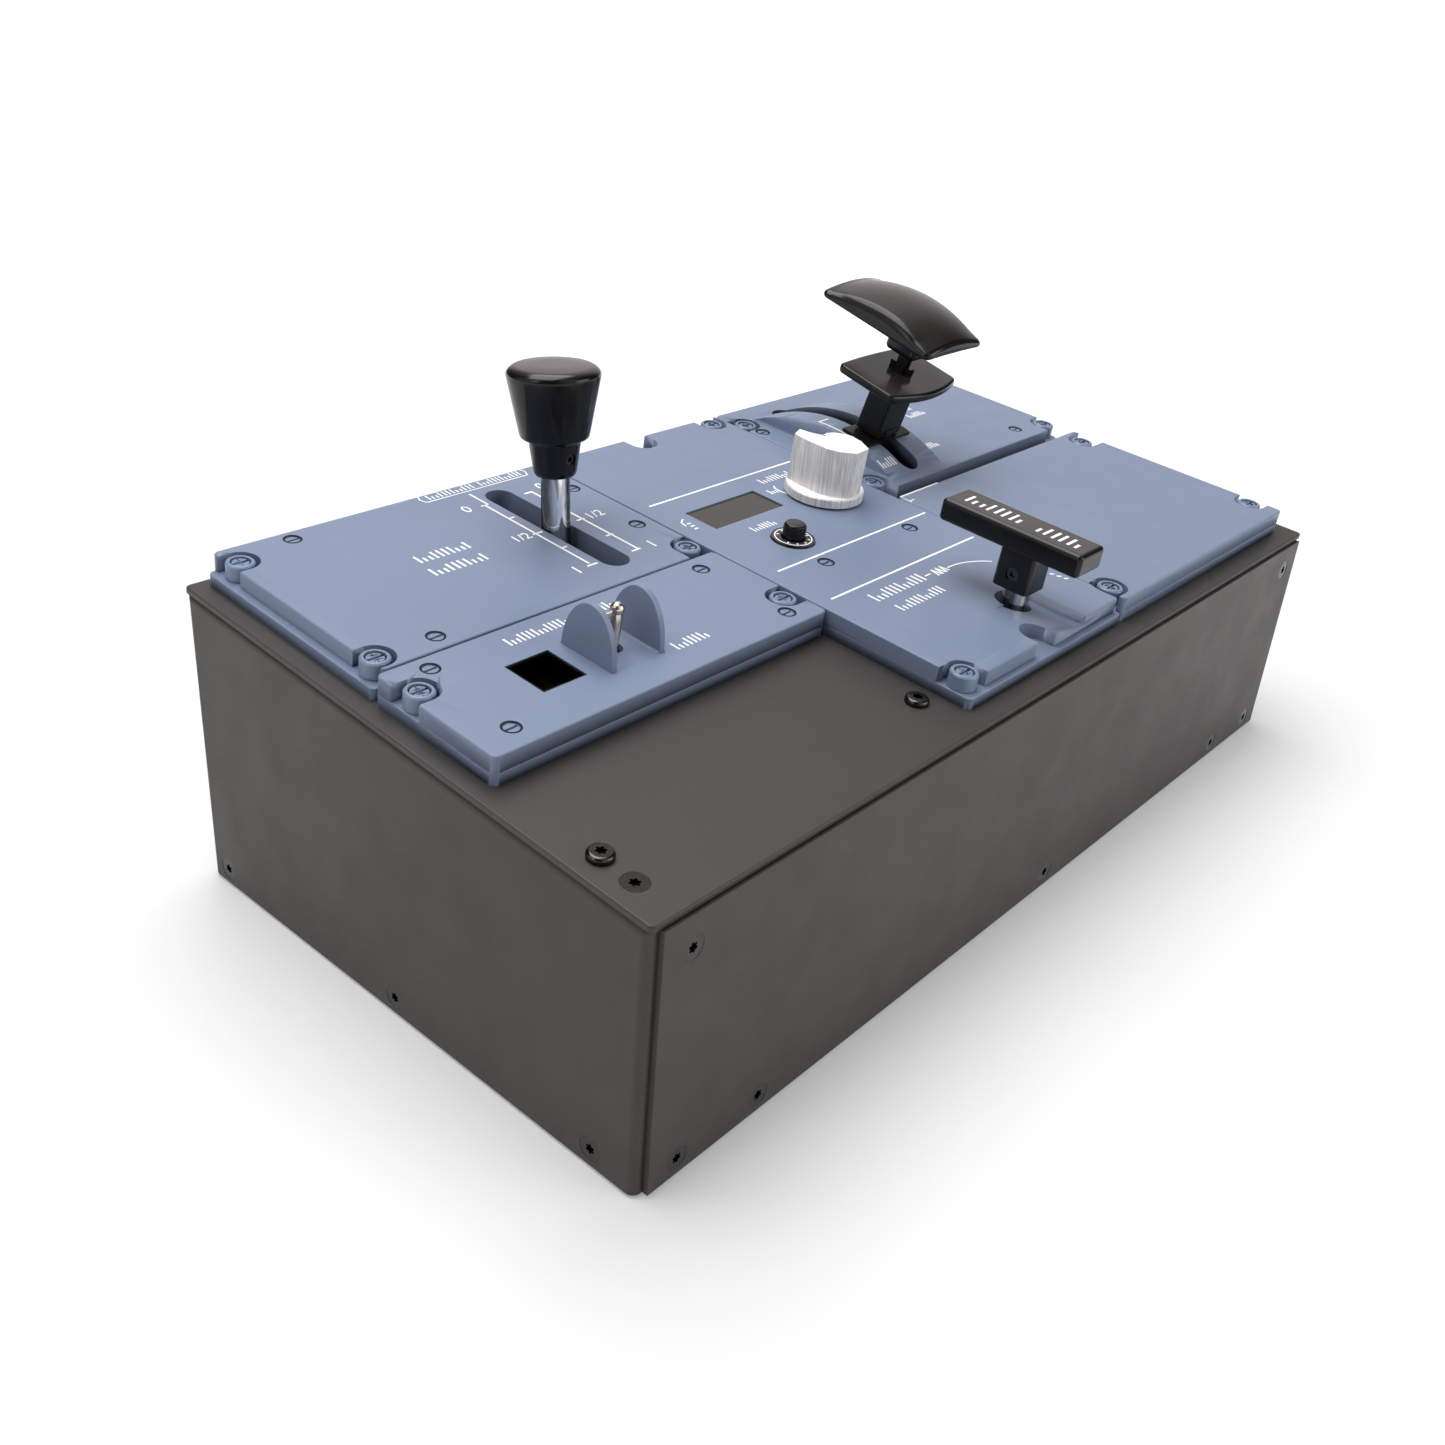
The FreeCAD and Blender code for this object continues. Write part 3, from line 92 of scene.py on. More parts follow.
NORMAL = axis_of("dial_push")
DECK_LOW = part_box("top_plate")[0]
DECK_SHEET = 2.0
DECK = frame_at(DECK_LOW + Vector((0, 0, DECK_SHEET * MM * NORMAL.z)), NORMAL)
BRAKE = frame_at(place_of("speed_brake_turn"), axis_of("speed_brake_lift"))
FLAP = frame_at(place_of("flap_turn"), axis_of("flap_trigger_lift"))
TRIM = frame_at(place_of("trim_turn"), NORMAL)
DIAL = frame_at(place_of("dial_turn"), NORMAL)
PARK = frame_at(place_of("park_turn"), NORMAL)
TOGGLE = frame_at(place_of("toggle_tilt"), NORMAL)
FLAP_PIVOT = frame_at(place_of("flap_turn"), NORMAL)
# Deck heights of the panels' base sheets and top faces, and the saddle's radius.
BASE_TOP = 4.0
PANEL_TOP = 9.8
HUMP_RADIUS = 75.2


# ---- camera and light ----------------------------------------------------------------------

def make_camera():
    """The photograph's camera, solved from the edges of the box."""
    camera = bpy.data.objects.new("Camera", bpy.data.cameras.new("Camera"))
    bpy.context.scene.collection.objects.link(camera)
    camera.location = (-0.4142, -0.2887, 0.3036)
    camera.rotation_euler = [math.radians(a) for a in (63.04, -3.27, -47.13)]
    camera.data.lens = 35.51
    camera.data.sensor_width = 36
    camera.data.shift_x = 0.0358
    camera.data.shift_y = -0.0361
    camera.data.clip_start = 0.01
    bpy.context.scene.camera = camera


def softbox(name, place, aim, wide, tall, power):
    """A rectangular light turned towards a point."""
    light = bpy.data.lights.new(name, "AREA")
    light.shape = "RECTANGLE"
    light.size = wide
    light.size_y = tall
    light.energy = power
    lamp = bpy.data.objects.new(name, light)
    bpy.context.scene.collection.objects.link(lamp)
    lamp.location = place
    toward = Vector(aim) - Vector(place)
    lamp.rotation_euler = toward.to_track_quat("-Z", "Y").to_euler()
    return lamp


def set_inputs(node, **values):
    """Set a node's sockets; a name's underscores stand for spaces."""
    for name, value in values.items():
        node.inputs[name.replace("_", " ")].default_value = value


def make_world():
    """White to the camera; everything else sees a grey room with three brighter sides."""
    world = bpy.data.worlds.new("Studio")
    bpy.context.scene.world = world
    world.use_nodes = True
    nodes, link = world.node_tree.nodes, world.node_tree.links.new
    room = nodes["Background"]
    set_inputs(room, Color=(1, 0.985, 0.97, 1))
    direction = nodes.new("ShaderNodeTexCoord")
    apart = nodes.new("ShaderNodeSeparateXYZ")
    link(direction.outputs["Generated"], apart.inputs[0])
    bearing = nodes.new("ShaderNodeMath")
    bearing.operation = "ARCTAN2"
    link(apart.outputs["Y"], bearing.inputs[0])
    link(apart.outputs["X"], bearing.inputs[1])
    sides, first_side = 3.0, -1.83
    turns = nodes.new("ShaderNodeMath")
    turns.operation = "MULTIPLY_ADD"
    turns.inputs[1].default_value = sides
    turns.inputs[2].default_value = first_side
    link(bearing.outputs[0], turns.inputs[0])
    wave = nodes.new("ShaderNodeMath")
    wave.operation = "COSINE"
    link(turns.outputs[0], wave.inputs[0])
    strength = nodes.new("ShaderNodeMapRange")
    set_inputs(strength, From_Min=-0.5, From_Max=0.7, To_Min=0.06, To_Max=0.78)
    link(wave.outputs[0], strength.inputs["Value"])
    link(strength.outputs["Result"], room.inputs["Strength"])

    white = nodes.new("ShaderNodeBackground")
    set_inputs(white, Color=(1, 1, 1, 1))
    ray = nodes.new("ShaderNodeLightPath")
    mix = nodes.new("ShaderNodeMixShader")
    link(ray.outputs["Is Camera Ray"], mix.inputs["Fac"])
    link(room.outputs[0], mix.inputs[1])
    link(white.outputs[0], mix.inputs[2])
    link(mix.outputs[0], nodes["World Output"].inputs["Surface"])


def make_floor():
    """A pale floor that glows more with distance, so that it stays white to the horizon."""
    reach, below_feet = 8.0, 0.0002
    mesh = bpy.data.meshes.new("Floor")
    mesh.from_pydata([(-reach, -reach, 0), (reach, -reach, 0), (reach, reach, 0),
                      (-reach, reach, 0)], [], [(0, 1, 2, 3)])
    floor = bpy.data.objects.new("Floor", mesh)
    bpy.context.scene.collection.objects.link(floor)
    floor.location.z = -below_feet
    look = Look("floor_white")
    set_inputs(look.shader, Base_Color=(0.62, 0.62, 0.62, 1), Roughness=0.95,
               Specular_IOR_Level=0.0, Emission_Color=(1, 1, 1, 1))
    distance = look.node("ShaderNodeVectorMath", operation="LENGTH")
    look.link(look.place, distance.inputs[0])
    look.link(look.ramp(distance.outputs["Value"], 0.35, 1.3, 0.22, 1.0),
              look.shader.inputs["Emission Strength"])
    mesh.materials.append(look.material)


def make_studio():
    """White sweep, a large soft light overhead and two weak ones at the front and left."""
    view = bpy.context.scene.view_settings
    view.view_transform = "Standard"
    view.look = "None"
    make_world()
    softbox("KeyTop", (-0.1, 0.35, 1.5), (0, 0, 0.1), 1.3, 1.1, 26)
    softbox("FillFront", (0.9, -1.5, 0.7), (0, 0, 0.05), 1.2, 0.9, 10)
    softbox("EdgeLeft", (-1.3, 0.1, 0.9), (0, 0, 0.15), 0.3, 0.8, 1.6)
    make_floor()


# ---- materials -----------------------------------------------------------------------------

class Look:
    """A material's node tree with short ways to add to it."""

    def __init__(self, name, **sockets):
        self.material = bpy.data.materials.new(name)
        self.material.use_nodes = True
        self.tree = self.material.node_tree
        self.shader = self.tree.nodes["Principled BSDF"]
        self.place = self.node("ShaderNodeTexCoord").outputs["Object"]
        for key, value in sockets.items():
            self.put(key.replace("_", " ").title(), value)

    def node(self, kind, **settings):
        """Add one node with its settings."""
        made = self.tree.nodes.new(kind)
        for key, value in settings.items():
            setattr(made, key, value)
        return made

    def link(self, start, end):
        """Join an output socket to an input socket."""
        self.tree.links.new(start, end)

    def put(self, socket, value):
        """Set one constant on the shader."""
        names = {"Ior": "IOR", "Specular": "Specular IOR Level"}
        field = self.shader.inputs[names.get(socket, socket)]
        field.default_value = (*value, 1) if isinstance(value, tuple) else value

    def noise(self, scale, detail=2.0, rough=0.5, stretch=None):
        """Noise over the row frame; scale is in features per metre."""
        texture = self.node("ShaderNodeTexNoise")
        texture.inputs["Scale"].default_value = scale
        texture.inputs["Detail"].default_value = detail
        texture.inputs["Roughness"].default_value = rough
        place = self.place
        if stretch:
            mapping = self.node("ShaderNodeMapping")
            mapping.inputs["Scale"].default_value = stretch
            self.link(place, mapping.inputs["Vector"])
            place = mapping.outputs["Vector"]
        self.link(place, texture.inputs["Vector"])
        return texture.outputs["Fac"]

    def ramp(self, source, low, high, start, end):
        """source mapped from low..high to start..end."""
        made = self.node("ShaderNodeMapRange")
        self.link(source, made.inputs["Value"])
        for socket, value in (("From Min", low), ("From Max", high), ("To Min", start),
                              ("To Max", end)):
            made.inputs[socket].default_value = value
        return made.outputs["Result"]

    def blend(self, factor, first, second):
        """A mix of two colours, each a tuple or a socket."""
        made = self.node("ShaderNodeMix", data_type="RGBA")
        for socket, value in (("A", first), ("B", second)):
            field = [s for s in made.inputs if s.name == socket and s.type == "RGBA"][0]
            if isinstance(value, tuple):
                field.default_value = (*value, 1)
            else:
                self.link(value, field)
        self.link(factor, made.inputs["Factor"])
        return [s for s in made.outputs if s.type == "RGBA"][0]

    def colour(self, source):
        """Drive the base colour from a socket."""
        self.link(source, self.shader.inputs["Base Color"])

    def rough(self, source):
        """Drive the roughness from a socket."""
        self.link(source, self.shader.inputs["Roughness"])

    def facing(self):
        """The X, Y and Z of the surface's direction in the piece's own frame."""
        place = self.node("ShaderNodeTexCoord")
        apart = self.node("ShaderNodeSeparateXYZ")
        self.link(place.outputs["Normal"], apart.inputs[0])
        return apart.outputs

    def bump(self, *layers):
        """Layers of (height source, depth in metres)."""
        before = None
        for source, depth in layers:
            made = self.node("ShaderNodeBump")
            made.inputs["Strength"].default_value = 1.0
            made.inputs["Distance"].default_value = depth
            self.link(source, made.inputs["Height"])
            if before:
                self.link(before, made.inputs["Normal"])
            before = made.outputs["Normal"]
        self.link(before, self.shader.inputs["Normal"])


def shades(colour, spread):
    """A darker and a lighter version of a colour."""
    dark = tuple(c * (1 - spread) for c in colour)
    light = tuple(min(1, c * (1 + spread)) for c in colour)
    return dark, light


def painted(name, colour, rough, grain, depth, spread=0.06, specular=0.5):
    """Sprayed paint: fine orange peel, a little drift in colour and gloss."""
    look = Look(name, specular=specular)
    dark, light = shades(colour, spread)
    drift = look.noise(9, 3)
    speckle = look.noise(grain * 0.6, 2)
    mottled = look.blend(look.ramp(drift, 0.3, 0.7, 0, 1), dark, light)
    look.colour(look.blend(look.ramp(speckle, 0.35, 0.75, 0, 0.16), mottled, light))
    look.rough(look.ramp(look.noise(60, 4), 0.3, 0.7, rough - 0.04, rough + 0.05))
    look.bump((look.noise(grain, 3), depth), (look.noise(grain * 0.18, 2), depth * 1.4))
    return look.material


def metal(name, colour, rough, stretch, depth, scratch=900, metallic=1.0, spread=0.1):
    """Turned or brushed metal: fine lines across the stretch direction."""
    look = Look(name, metallic=metallic)
    lines = look.noise(scratch, 5, 0.65, stretch)
    dark, light = shades(colour, spread)
    look.colour(look.blend(look.ramp(lines, 0.3, 0.7, 0, 1), dark, light))
    look.rough(look.ramp(lines, 0.25, 0.75, rough * 0.75, rough * 1.3))
    look.bump((lines, depth))
    return look.material


def plastic(name, colour, rough, grain=2600, depth=0.000004, smudge=0.1, specular=0.5):
    """Moulded plastic: faint texture, a little drift in colour and smudges in the gloss."""
    look = Look(name, specular=specular)
    dark, light = shades(colour, 0.15)
    look.colour(look.blend(look.ramp(look.noise(40, 3), 0.3, 0.7, 0, 1), dark, light))
    smears = look.noise(70, 5, 0.6)
    look.rough(look.ramp(smears, 0.35, 0.75, rough, rough + smudge))
    look.bump((look.noise(grain, 2), depth))
    return look.material


def black_with_painted_sheen(name, dark, light, rough, specular=0.22):
    """Glossy black moulding with a painted sheen: a paler black is painted on its upper faces."""
    look = Look(name, specular=specular)
    look.put("Coat Weight", 0.12)
    look.put("Coat Roughness", 0.08)
    patches = look.ramp(look.noise(55, 4), 0.3, 0.7, 0, 1)
    paler = look.blend(patches, *shades(light, 0.1))
    # Painted sheen: the paler black fades in on faces turned upwards.
    painted_sheen_mask = look.ramp(look.facing()["Z"], 0.72, 0.99, 0, 1)
    look.colour(look.blend(painted_sheen_mask, dark, paler))
    look.rough(look.ramp(look.noise(70, 5, 0.6), 0.35, 0.75, rough, rough + 0.1))
    look.bump((look.noise(2600, 2), 0.000004))
    return look.material


def turned_steel_with_painted_reflections(name, dark, light, rough, bands):
    """Bar stock with painted reflections, light and dark bands along its length, and faint turning
    lines.
    """
    look = Look(name, metallic=1.0)
    # Painted reflections: the colour swings between dark and light with the bearing of the surface
    # round the bar.
    facing = look.facing()
    angle = look.node("ShaderNodeMath", operation="ARCTAN2")
    look.link(facing["Y"], angle.inputs[0])
    look.link(facing["X"], angle.inputs[1])
    turns = look.node("ShaderNodeMath", operation="MULTIPLY")
    turns.inputs[1].default_value = bands
    look.link(angle.outputs[0], turns.inputs[0])
    wave = look.node("ShaderNodeMath", operation="COSINE")
    look.link(turns.outputs[0], wave.inputs[0])
    painted_streak = look.ramp(wave.outputs[0], -0.45, 0.55, 0, 1)
    look.colour(look.blend(painted_streak, dark, light))
    lines = look.noise(500, 5, 0.65, (0.3, 0.3, 6))
    look.rough(look.ramp(lines, 0.25, 0.75, rough * 0.75, rough * 1.3))
    look.bump((lines, 0.000001))
    return look.material


def dark_glass(name):
    """Dark window whose tint and gloss drift a little."""
    look = Look(name, specular=0.4)
    look.colour(look.blend(look.noise(25, 2), (0.026, 0.022, 0.019), (0.036, 0.031, 0.027)))
    look.rough(look.ramp(look.noise(200, 3), 0.3, 0.7, 0.16, 0.24))
    return look.material


def make_materials():
    """Every look of the console, by name."""
    looks = [
        painted("case_black", (0.040, 0.0365, 0.0345), rough=0.46, grain=2600, depth=0.000016,
                spread=0.03, specular=0.36),
        painted("panel_blue", (0.170, 0.211, 0.310), rough=0.42, grain=1500, depth=0.000008,
                spread=0.03, specular=0.4),
        painted("stud_blue", (0.165, 0.215, 0.325), rough=0.30, grain=1500, depth=0.000008),
        metal("screw_black", (0.06, 0.057, 0.055), rough=0.2, stretch=(1, 1, 1),
              depth=0.000003),
        # gloss_black carries a painted sheen: its paler colour is painted on upward faces.
        black_with_painted_sheen("gloss_black", dark=(0.005, 0.0042, 0.004), light=(0.042, 0.038, 0.038),
                    rough=0.15),
        plastic("satin_black", (0.006, 0.0055, 0.005), rough=0.26, specular=0.22),
        plastic("deep_black", (0.0015, 0.001, 0.0008), rough=0.08, specular=0.35),
        plastic("matt_black", (0.014, 0.014, 0.014), rough=0.55, grain=1800, depth=0.00001),
        metal("steel", (0.70, 0.66, 0.62), rough=0.14, stretch=(0.25, 0.25, 9),
              depth=0.000002, scratch=700),
        # chrome carries painted reflections: light and dark bands along the bar.
        turned_steel_with_painted_reflections("chrome", dark=(0.16, 0.145, 0.14), light=(0.93, 0.90, 0.87), rough=0.1,
                     bands=3.0),
        metal("nickel", (0.66, 0.58, 0.50), rough=0.2, stretch=(1, 1, 4), depth=0.000002,
              scratch=600),
        metal("zinc", (0.55, 0.56, 0.58), rough=0.34, stretch=(4, 0.4, 4), depth=0.000005,
              scratch=300),
        metal("silver", (0.66, 0.645, 0.63), rough=0.5, stretch=(1, 1, 0.02), depth=0.00005,
              scratch=1500, metallic=0.2, spread=0.34),
        metal("silver_top", (0.97, 0.968, 0.96), rough=0.55, stretch=(0.2, 1, 1),
              depth=0.000008, scratch=1500, metallic=0.2, spread=0.04),
        plastic("white_ink", (0.92, 0.92, 0.92), rough=0.5, smudge=0.05),
        # Painted shadow: the colour of the dark rings round fastener heads.
        plastic("painted_shadow_black", (0.012, 0.016, 0.026), rough=0.6, specular=0.1),
        metal("brass", (0.60, 0.42, 0.17), rough=0.3, stretch=(1, 1, 6), depth=0.000003),
        plastic("rubber", (0.02, 0.02, 0.02), rough=0.8, grain=1200, depth=0.00003),
        plastic("green_board", (0.02, 0.13, 0.05), rough=0.35, grain=700, depth=0.00001),
        plastic("natural_plastic", (0.72, 0.70, 0.64), rough=0.5),
        dark_glass("smoked_glass"),
    ]
    # Blender adds .001 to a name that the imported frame's own materials have taken.
    return {look.name.split(".")[0]: look for look in looks}


# ---- mesh helpers --------------------------------------------------------------------------

def finish_mesh(name, mesh, material, body, replaced=(), crease=35):
    """Put a mesh in the scene as a piece that rides on a body."""
    piece = bpy.data.objects.new(name, mesh)
    bpy.context.scene.collection.objects.link(piece)
    if not mesh.materials:
        mesh.materials.append(LOOKS[material])
    mesh.shade_smooth()
    mesh.set_sharp_from_angle(angle=math.radians(crease))
    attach(piece, body)
    if replaced:
        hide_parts(*replaced)
    return piece


def even_normals(piece):
    """Shading that follows the large flat faces, so that they stay flat beside round edges."""
    step = piece.modifiers.new("Even", "WEIGHTED_NORMAL")
    step.mode = "FACE_AREA"
    step.weight = 100
    step.keep_sharp = True


def cleaned(node):
    """The CAD node's shape with its flat faces joined up again."""
    work = bmesh.new()
    work.from_mesh(NODES[node].data)
    bmesh.ops.remove_doubles(work, verts=work.verts, dist=0.000002)
    bmesh.ops.dissolve_limit(work, angle_limit=math.radians(0.4), verts=work.verts,
                             edges=work.edges)
    return work


def top_rim(work, top):
    """The outer top edges of a panel whose upper face lies at the deck height top."""
    low = [min(vert.co[axis] for vert in work.verts) for axis in (0, 1)]
    high = [max(vert.co[axis] for vert in work.verts) for axis in (0, 1)]
    rim = []
    for edge in work.edges:
        if len(edge.link_faces) != 2 or not edge.is_convex:
            continue
        if any(abs(vert.co.z - top) > 0.03 for vert in edge.verts):
            continue
        if not any(face.normal.z > 0.9 for face in edge.link_faces):
            continue
        middle = (edge.verts[0].co + edge.verts[1].co) / 2
        gap = min(middle.x - low[0], high[0] - middle.x, middle.y - low[1], high[1] - middle.y)
        if gap < 0.9:
            rim.append(edge)
    return rim


def ear_edges(work, top):
    """The free edges of the toggle guard's two ears, above the panel."""
    return [edge for edge in work.edges
            if len(edge.link_faces) == 2 and edge.is_convex
            and all(vert.co.z > top + 0.3 for vert in edge.verts)
            and edge.calc_face_angle(0) > math.radians(50)]


def rounded(node, chosen, top, width):
    """A blue node's own shape with chosen edges rounded; top is a height in the deck frame."""
    work = cleaned(node)
    work.transform(DECK.inverted())
    bmesh.ops.bevel(work, geom=chosen(work, top), offset=width, segments=3, profile=0.5,
                    affect="EDGES", clamp_overlap=False)
    bmesh.ops.triangulate(work, faces=[face for face in work.faces if len(face.verts) > 4])
    work.transform(DECK)
    mesh = bpy.data.meshes.new(node + "_rounded")
    work.to_mesh(mesh)
    work.free()
    piece = finish_mesh(node + "_rounded", mesh, "panel_blue", NODES[node]["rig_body"],
                        (node,), 40)
    even_normals(piece)


def islands(node):
    """The deck-frame corners of each loose part of a node: (lowest, highest) pairs."""
    work = bmesh.new()
    work.from_mesh(NODES[node].data)
    work.transform(DECK.inverted())
    bmesh.ops.remove_doubles(work, verts=work.verts, dist=0.002)
    left = set(work.verts)
    found = []
    while left:
        group, queue = [], [left.pop()]
        while queue:
            vert = queue.pop()
            group.append(vert.co.copy())
            for edge in vert.link_edges:
                other = edge.other_vert(vert)
                if other in left:
                    left.remove(other)
                    queue.append(other)
        found.append((Vector([min(p[a] for p in group) for a in range(3)]),
                      Vector([max(p[a] for p in group) for a in range(3)])))
    work.free()
    return found


def shadow_rings(name, node, drop, inner, outer):
    """A thin dark ring of painted shadow round each fastener head of a node, drop below the top of
    the head.
    """
    thick = 0.05
    work = bmesh.new()
    for low, high in islands(node):
        middle = (low + high) / 2
        level = high.z - drop
        lathe(work, [(inner, level - thick), (outer, level - thick), (outer, level),
                     (inner, level)], 40, (middle.x, middle.y, 0), closed=True)
    finish_mesh(name, to_mesh(work, name, DECK), "painted_shadow_black", "console")


def refined(node, material, width):
    """The CAD node's own shape with every sharp edge rounded off."""
    work = cleaned(node)
    mesh = bpy.data.meshes.new(node + "_refined")
    work.to_mesh(mesh)
    work.free()
    piece = finish_mesh(node + "_refined", mesh, material, NODES[node]["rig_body"], (node,))
    bevel = piece.modifiers.new("Round", "BEVEL")
    bevel.width = width * MM
    bevel.segments = 2
    bevel.limit_method = "ANGLE"
    bevel.angle_limit = math.radians(30)
    bevel.harden_normals = True
    bevel.use_clamp_overlap = False


def paint(node, material):
    """Give a kept CAD node its material."""
    slots = NODES[node].data.materials
    slots.clear()
    slots.append(LOOKS[material])
    NODES[node].data.shade_smooth()
    NODES[node].data.set_sharp_from_angle(angle=math.radians(30))


def arc(start, middle, end, steps):
    """Points of the circle arc through three 2-D points, both ends included."""
    a, b, c = Vector(start), Vector(middle), Vector(end)
    turn = 2 * (a.x * (b.y - c.y) + b.x * (c.y - a.y) + c.x * (a.y - b.y))
    squares = [p.length_squared for p in (a, b, c)]
    centre = Vector((
        (squares[0] * (b.y - c.y) + squares[1] * (c.y - a.y) + squares[2] * (a.y - b.y)) / turn,
        (squares[0] * (c.x - b.x) + squares[1] * (a.x - c.x) + squares[2] * (b.x - a.x)) / turn))
    first, halfway, last = [math.atan2((p - centre).y, (p - centre).x) for p in (a, b, c)]
    full = 2 * math.pi
    sweep = (last - first) % full
    if (halfway - first) % full > sweep:
        sweep -= full
    radius = (a - centre).length
    return [centre + radius * Vector((math.cos(first + sweep * i / steps),
                                      math.sin(first + sweep * i / steps)))
            for i in range(steps + 1)]


def inset_loop(loop, distance):
    """A closed anticlockwise 2-D loop moved inwards by a distance."""
    moved = []
    count = len(loop)
    for i, point in enumerate(loop):
        along = (loop[(i + 1) % count] - loop[i - 1]).normalized()
        moved.append(point + distance * Vector((-along.y, along.x)))
    return moved


def skin_rings(work, rings, close_ends=True):
    """Join rings of equal length with quads; each ring is a list of 3-D points."""
    made = [[work.verts.new(point) for point in ring] for ring in rings]
    count = len(made[0])
    for low, high in zip(made, made[1:]):
        for i in range(count):
            work.faces.new((low[i], low[(i + 1) % count], high[(i + 1) % count], high[i]))
    if close_ends:
        work.faces.new(list(reversed(made[0])))
        work.faces.new(made[-1])


def lathe(work, profile, steps=64, centre=(0, 0, 0), closed=False):
    """Turn (radius, height) pairs about Z, with flat ends, or joined into a ring if closed."""
    middle = Vector(centre)
    rings = []
    for radius, height in profile:
        rings.append([middle + Vector((radius * math.cos(2 * math.pi * i / steps),
                                       radius * math.sin(2 * math.pi * i / steps), height))
                      for i in range(steps)])
    if closed:
        rings.append(rings[0])
    skin_rings(work, rings, not closed)


def soft_profile(corners, radius, steps=5):
    """A profile with its inner corners rounded; corners are (radius, height) pairs."""
    points = [Vector(corners[0])]
    for before, corner, after in zip(corners, corners[1:], corners[2:]):
        corner = Vector(corner)
        start = (Vector(before) - corner)
        end = (Vector(after) - corner)
        reach = min(radius, start.length * 0.45, end.length * 0.45)
        one, two = corner + start.normalized() * reach, corner + end.normalized() * reach
        for i in range(steps + 1):
            t = i / steps
            points.append((1 - t) ** 2 * one + 2 * t * (1 - t) * corner + t * t * two)
    points.append(Vector(corners[-1]))
    return [(p.x, p.y) for p in points]


def soft_box(work, low, high, radius, segments=4):
    """A box with every edge rounded, added to a mesh in millimetres."""
    low, high = Vector(low), Vector(high)
    made = bmesh.ops.create_cube(work, size=1.0)["verts"]
    for vert in made:
        vert.co = (low + high) / 2 + Vector([c * d for c, d in zip(vert.co, high - low)])
    edges = list({edge for vert in made for edge in vert.link_edges})
    bmesh.ops.bevel(work, geom=edges, offset=radius, segments=segments, profile=0.5,
                    affect="EDGES")


def to_mesh(work, name, place):
    """Finish a mesh drawn in the millimetres of a local frame."""
    bmesh.ops.recalc_face_normals(work, faces=work.faces)
    work.transform(place)
    mesh = bpy.data.meshes.new(name)
    work.to_mesh(mesh)
    work.free()
    return mesh


def cut_away(mesh, cutter):
    """The mesh with another mesh's volume taken out; both are in the row frame."""
    body = bpy.data.objects.new("Blank", mesh)
    tool = bpy.data.objects.new("Cutter", cutter)
    for item in (body, tool):
        bpy.context.scene.collection.objects.link(item)
    step = body.modifiers.new("Cut", "BOOLEAN")
    step.operation = "DIFFERENCE"
    step.solver = "EXACT"
    step.object = tool
    graph = bpy.context.evaluated_depsgraph_get()
    result = bpy.data.meshes.new_from_object(body.evaluated_get(graph))
    bpy.data.objects.remove(body)
    bpy.data.objects.remove(tool)
    return result


# ---- white legends -------------------------------------------------------------------------

INK_LOW, INK_HIGH = PANEL_TOP - 0.02, PANEL_TOP + 0.05


def stroke(work, points, width, level=None):
    """A flat raised line through deck points."""
    low, high = level or (INK_LOW, INK_HIGH)
    left, right = [], []
    for i, point in enumerate(points):
        here = Vector(point)
        before = Vector(points[max(i - 1, 0)])
        after = Vector(points[min(i + 1, len(points) - 1)])
        along = (after - before).normalized()
        side = Vector((-along.y, along.x)) * width / 2
        left.append(here + side)
        right.append(here - side)
    rings = []
    for a, b in zip(left, right):
        rings.append([(a.x, a.y, low), (b.x, b.y, low), (b.x, b.y, high), (a.x, a.y, high)])
    skin_rings(work, rings)


# A generic label is a row of pairs of bars: each pair's two heights, as shares of the tallest,
# and how far a bar stands from the middle of its pair, as a share of the pitch.
BAR_PAIRS = ((1.0, 0.55), (0.55, 1.0), (1.0, 1.0))
BAR_SHIFT = 0.24


def bars(work, x, y, count, pitch, tall, thick=0.7):
    """A generic label in place of a word, centred on x, y: one pair of bars for each place."""
    start = x - pitch * (count - 1) / 2
    foot = y - tall / 2
    for i in range(count):
        at = start + i * pitch
        for shift, share in zip((-pitch * BAR_SHIFT, pitch * BAR_SHIFT), BAR_PAIRS[i % 3]):
            stroke(work, [(at + shift, foot), (at + shift, foot + tall * share)], thick)


def numeral(work, text, x, y, tall):
    """A number set in Blender's own plain typeface, centred on x, y."""
    curve = bpy.data.curves.new("Numeral", "FONT")
    curve.body = text
    curve.size = tall * 1.4
    curve.align_x = "CENTER"
    curve.align_y = "CENTER"
    curve.extrude = (INK_HIGH - INK_LOW) / 2
    item = bpy.data.objects.new("Numeral", curve)
    bpy.context.scene.collection.objects.link(item)
    graph = bpy.context.evaluated_depsgraph_get()
    mesh = bpy.data.meshes.new_from_object(item.evaluated_get(graph))
    mesh.transform(Matrix.Translation((x, y, (INK_LOW + INK_HIGH) / 2)))
    work.from_mesh(mesh)
    bpy.data.objects.remove(item)


# Widths of the main and the fine lines, in millimetres.
LINE = 0.85
FINE = 0.6


def legend(name, draw):
    """One panel's markings, drawn in deck millimetres, as one piece."""
    work = bmesh.new()
    draw(work)
    finish_mesh(name, to_mesh(work, name, DECK), "white_ink", "console")


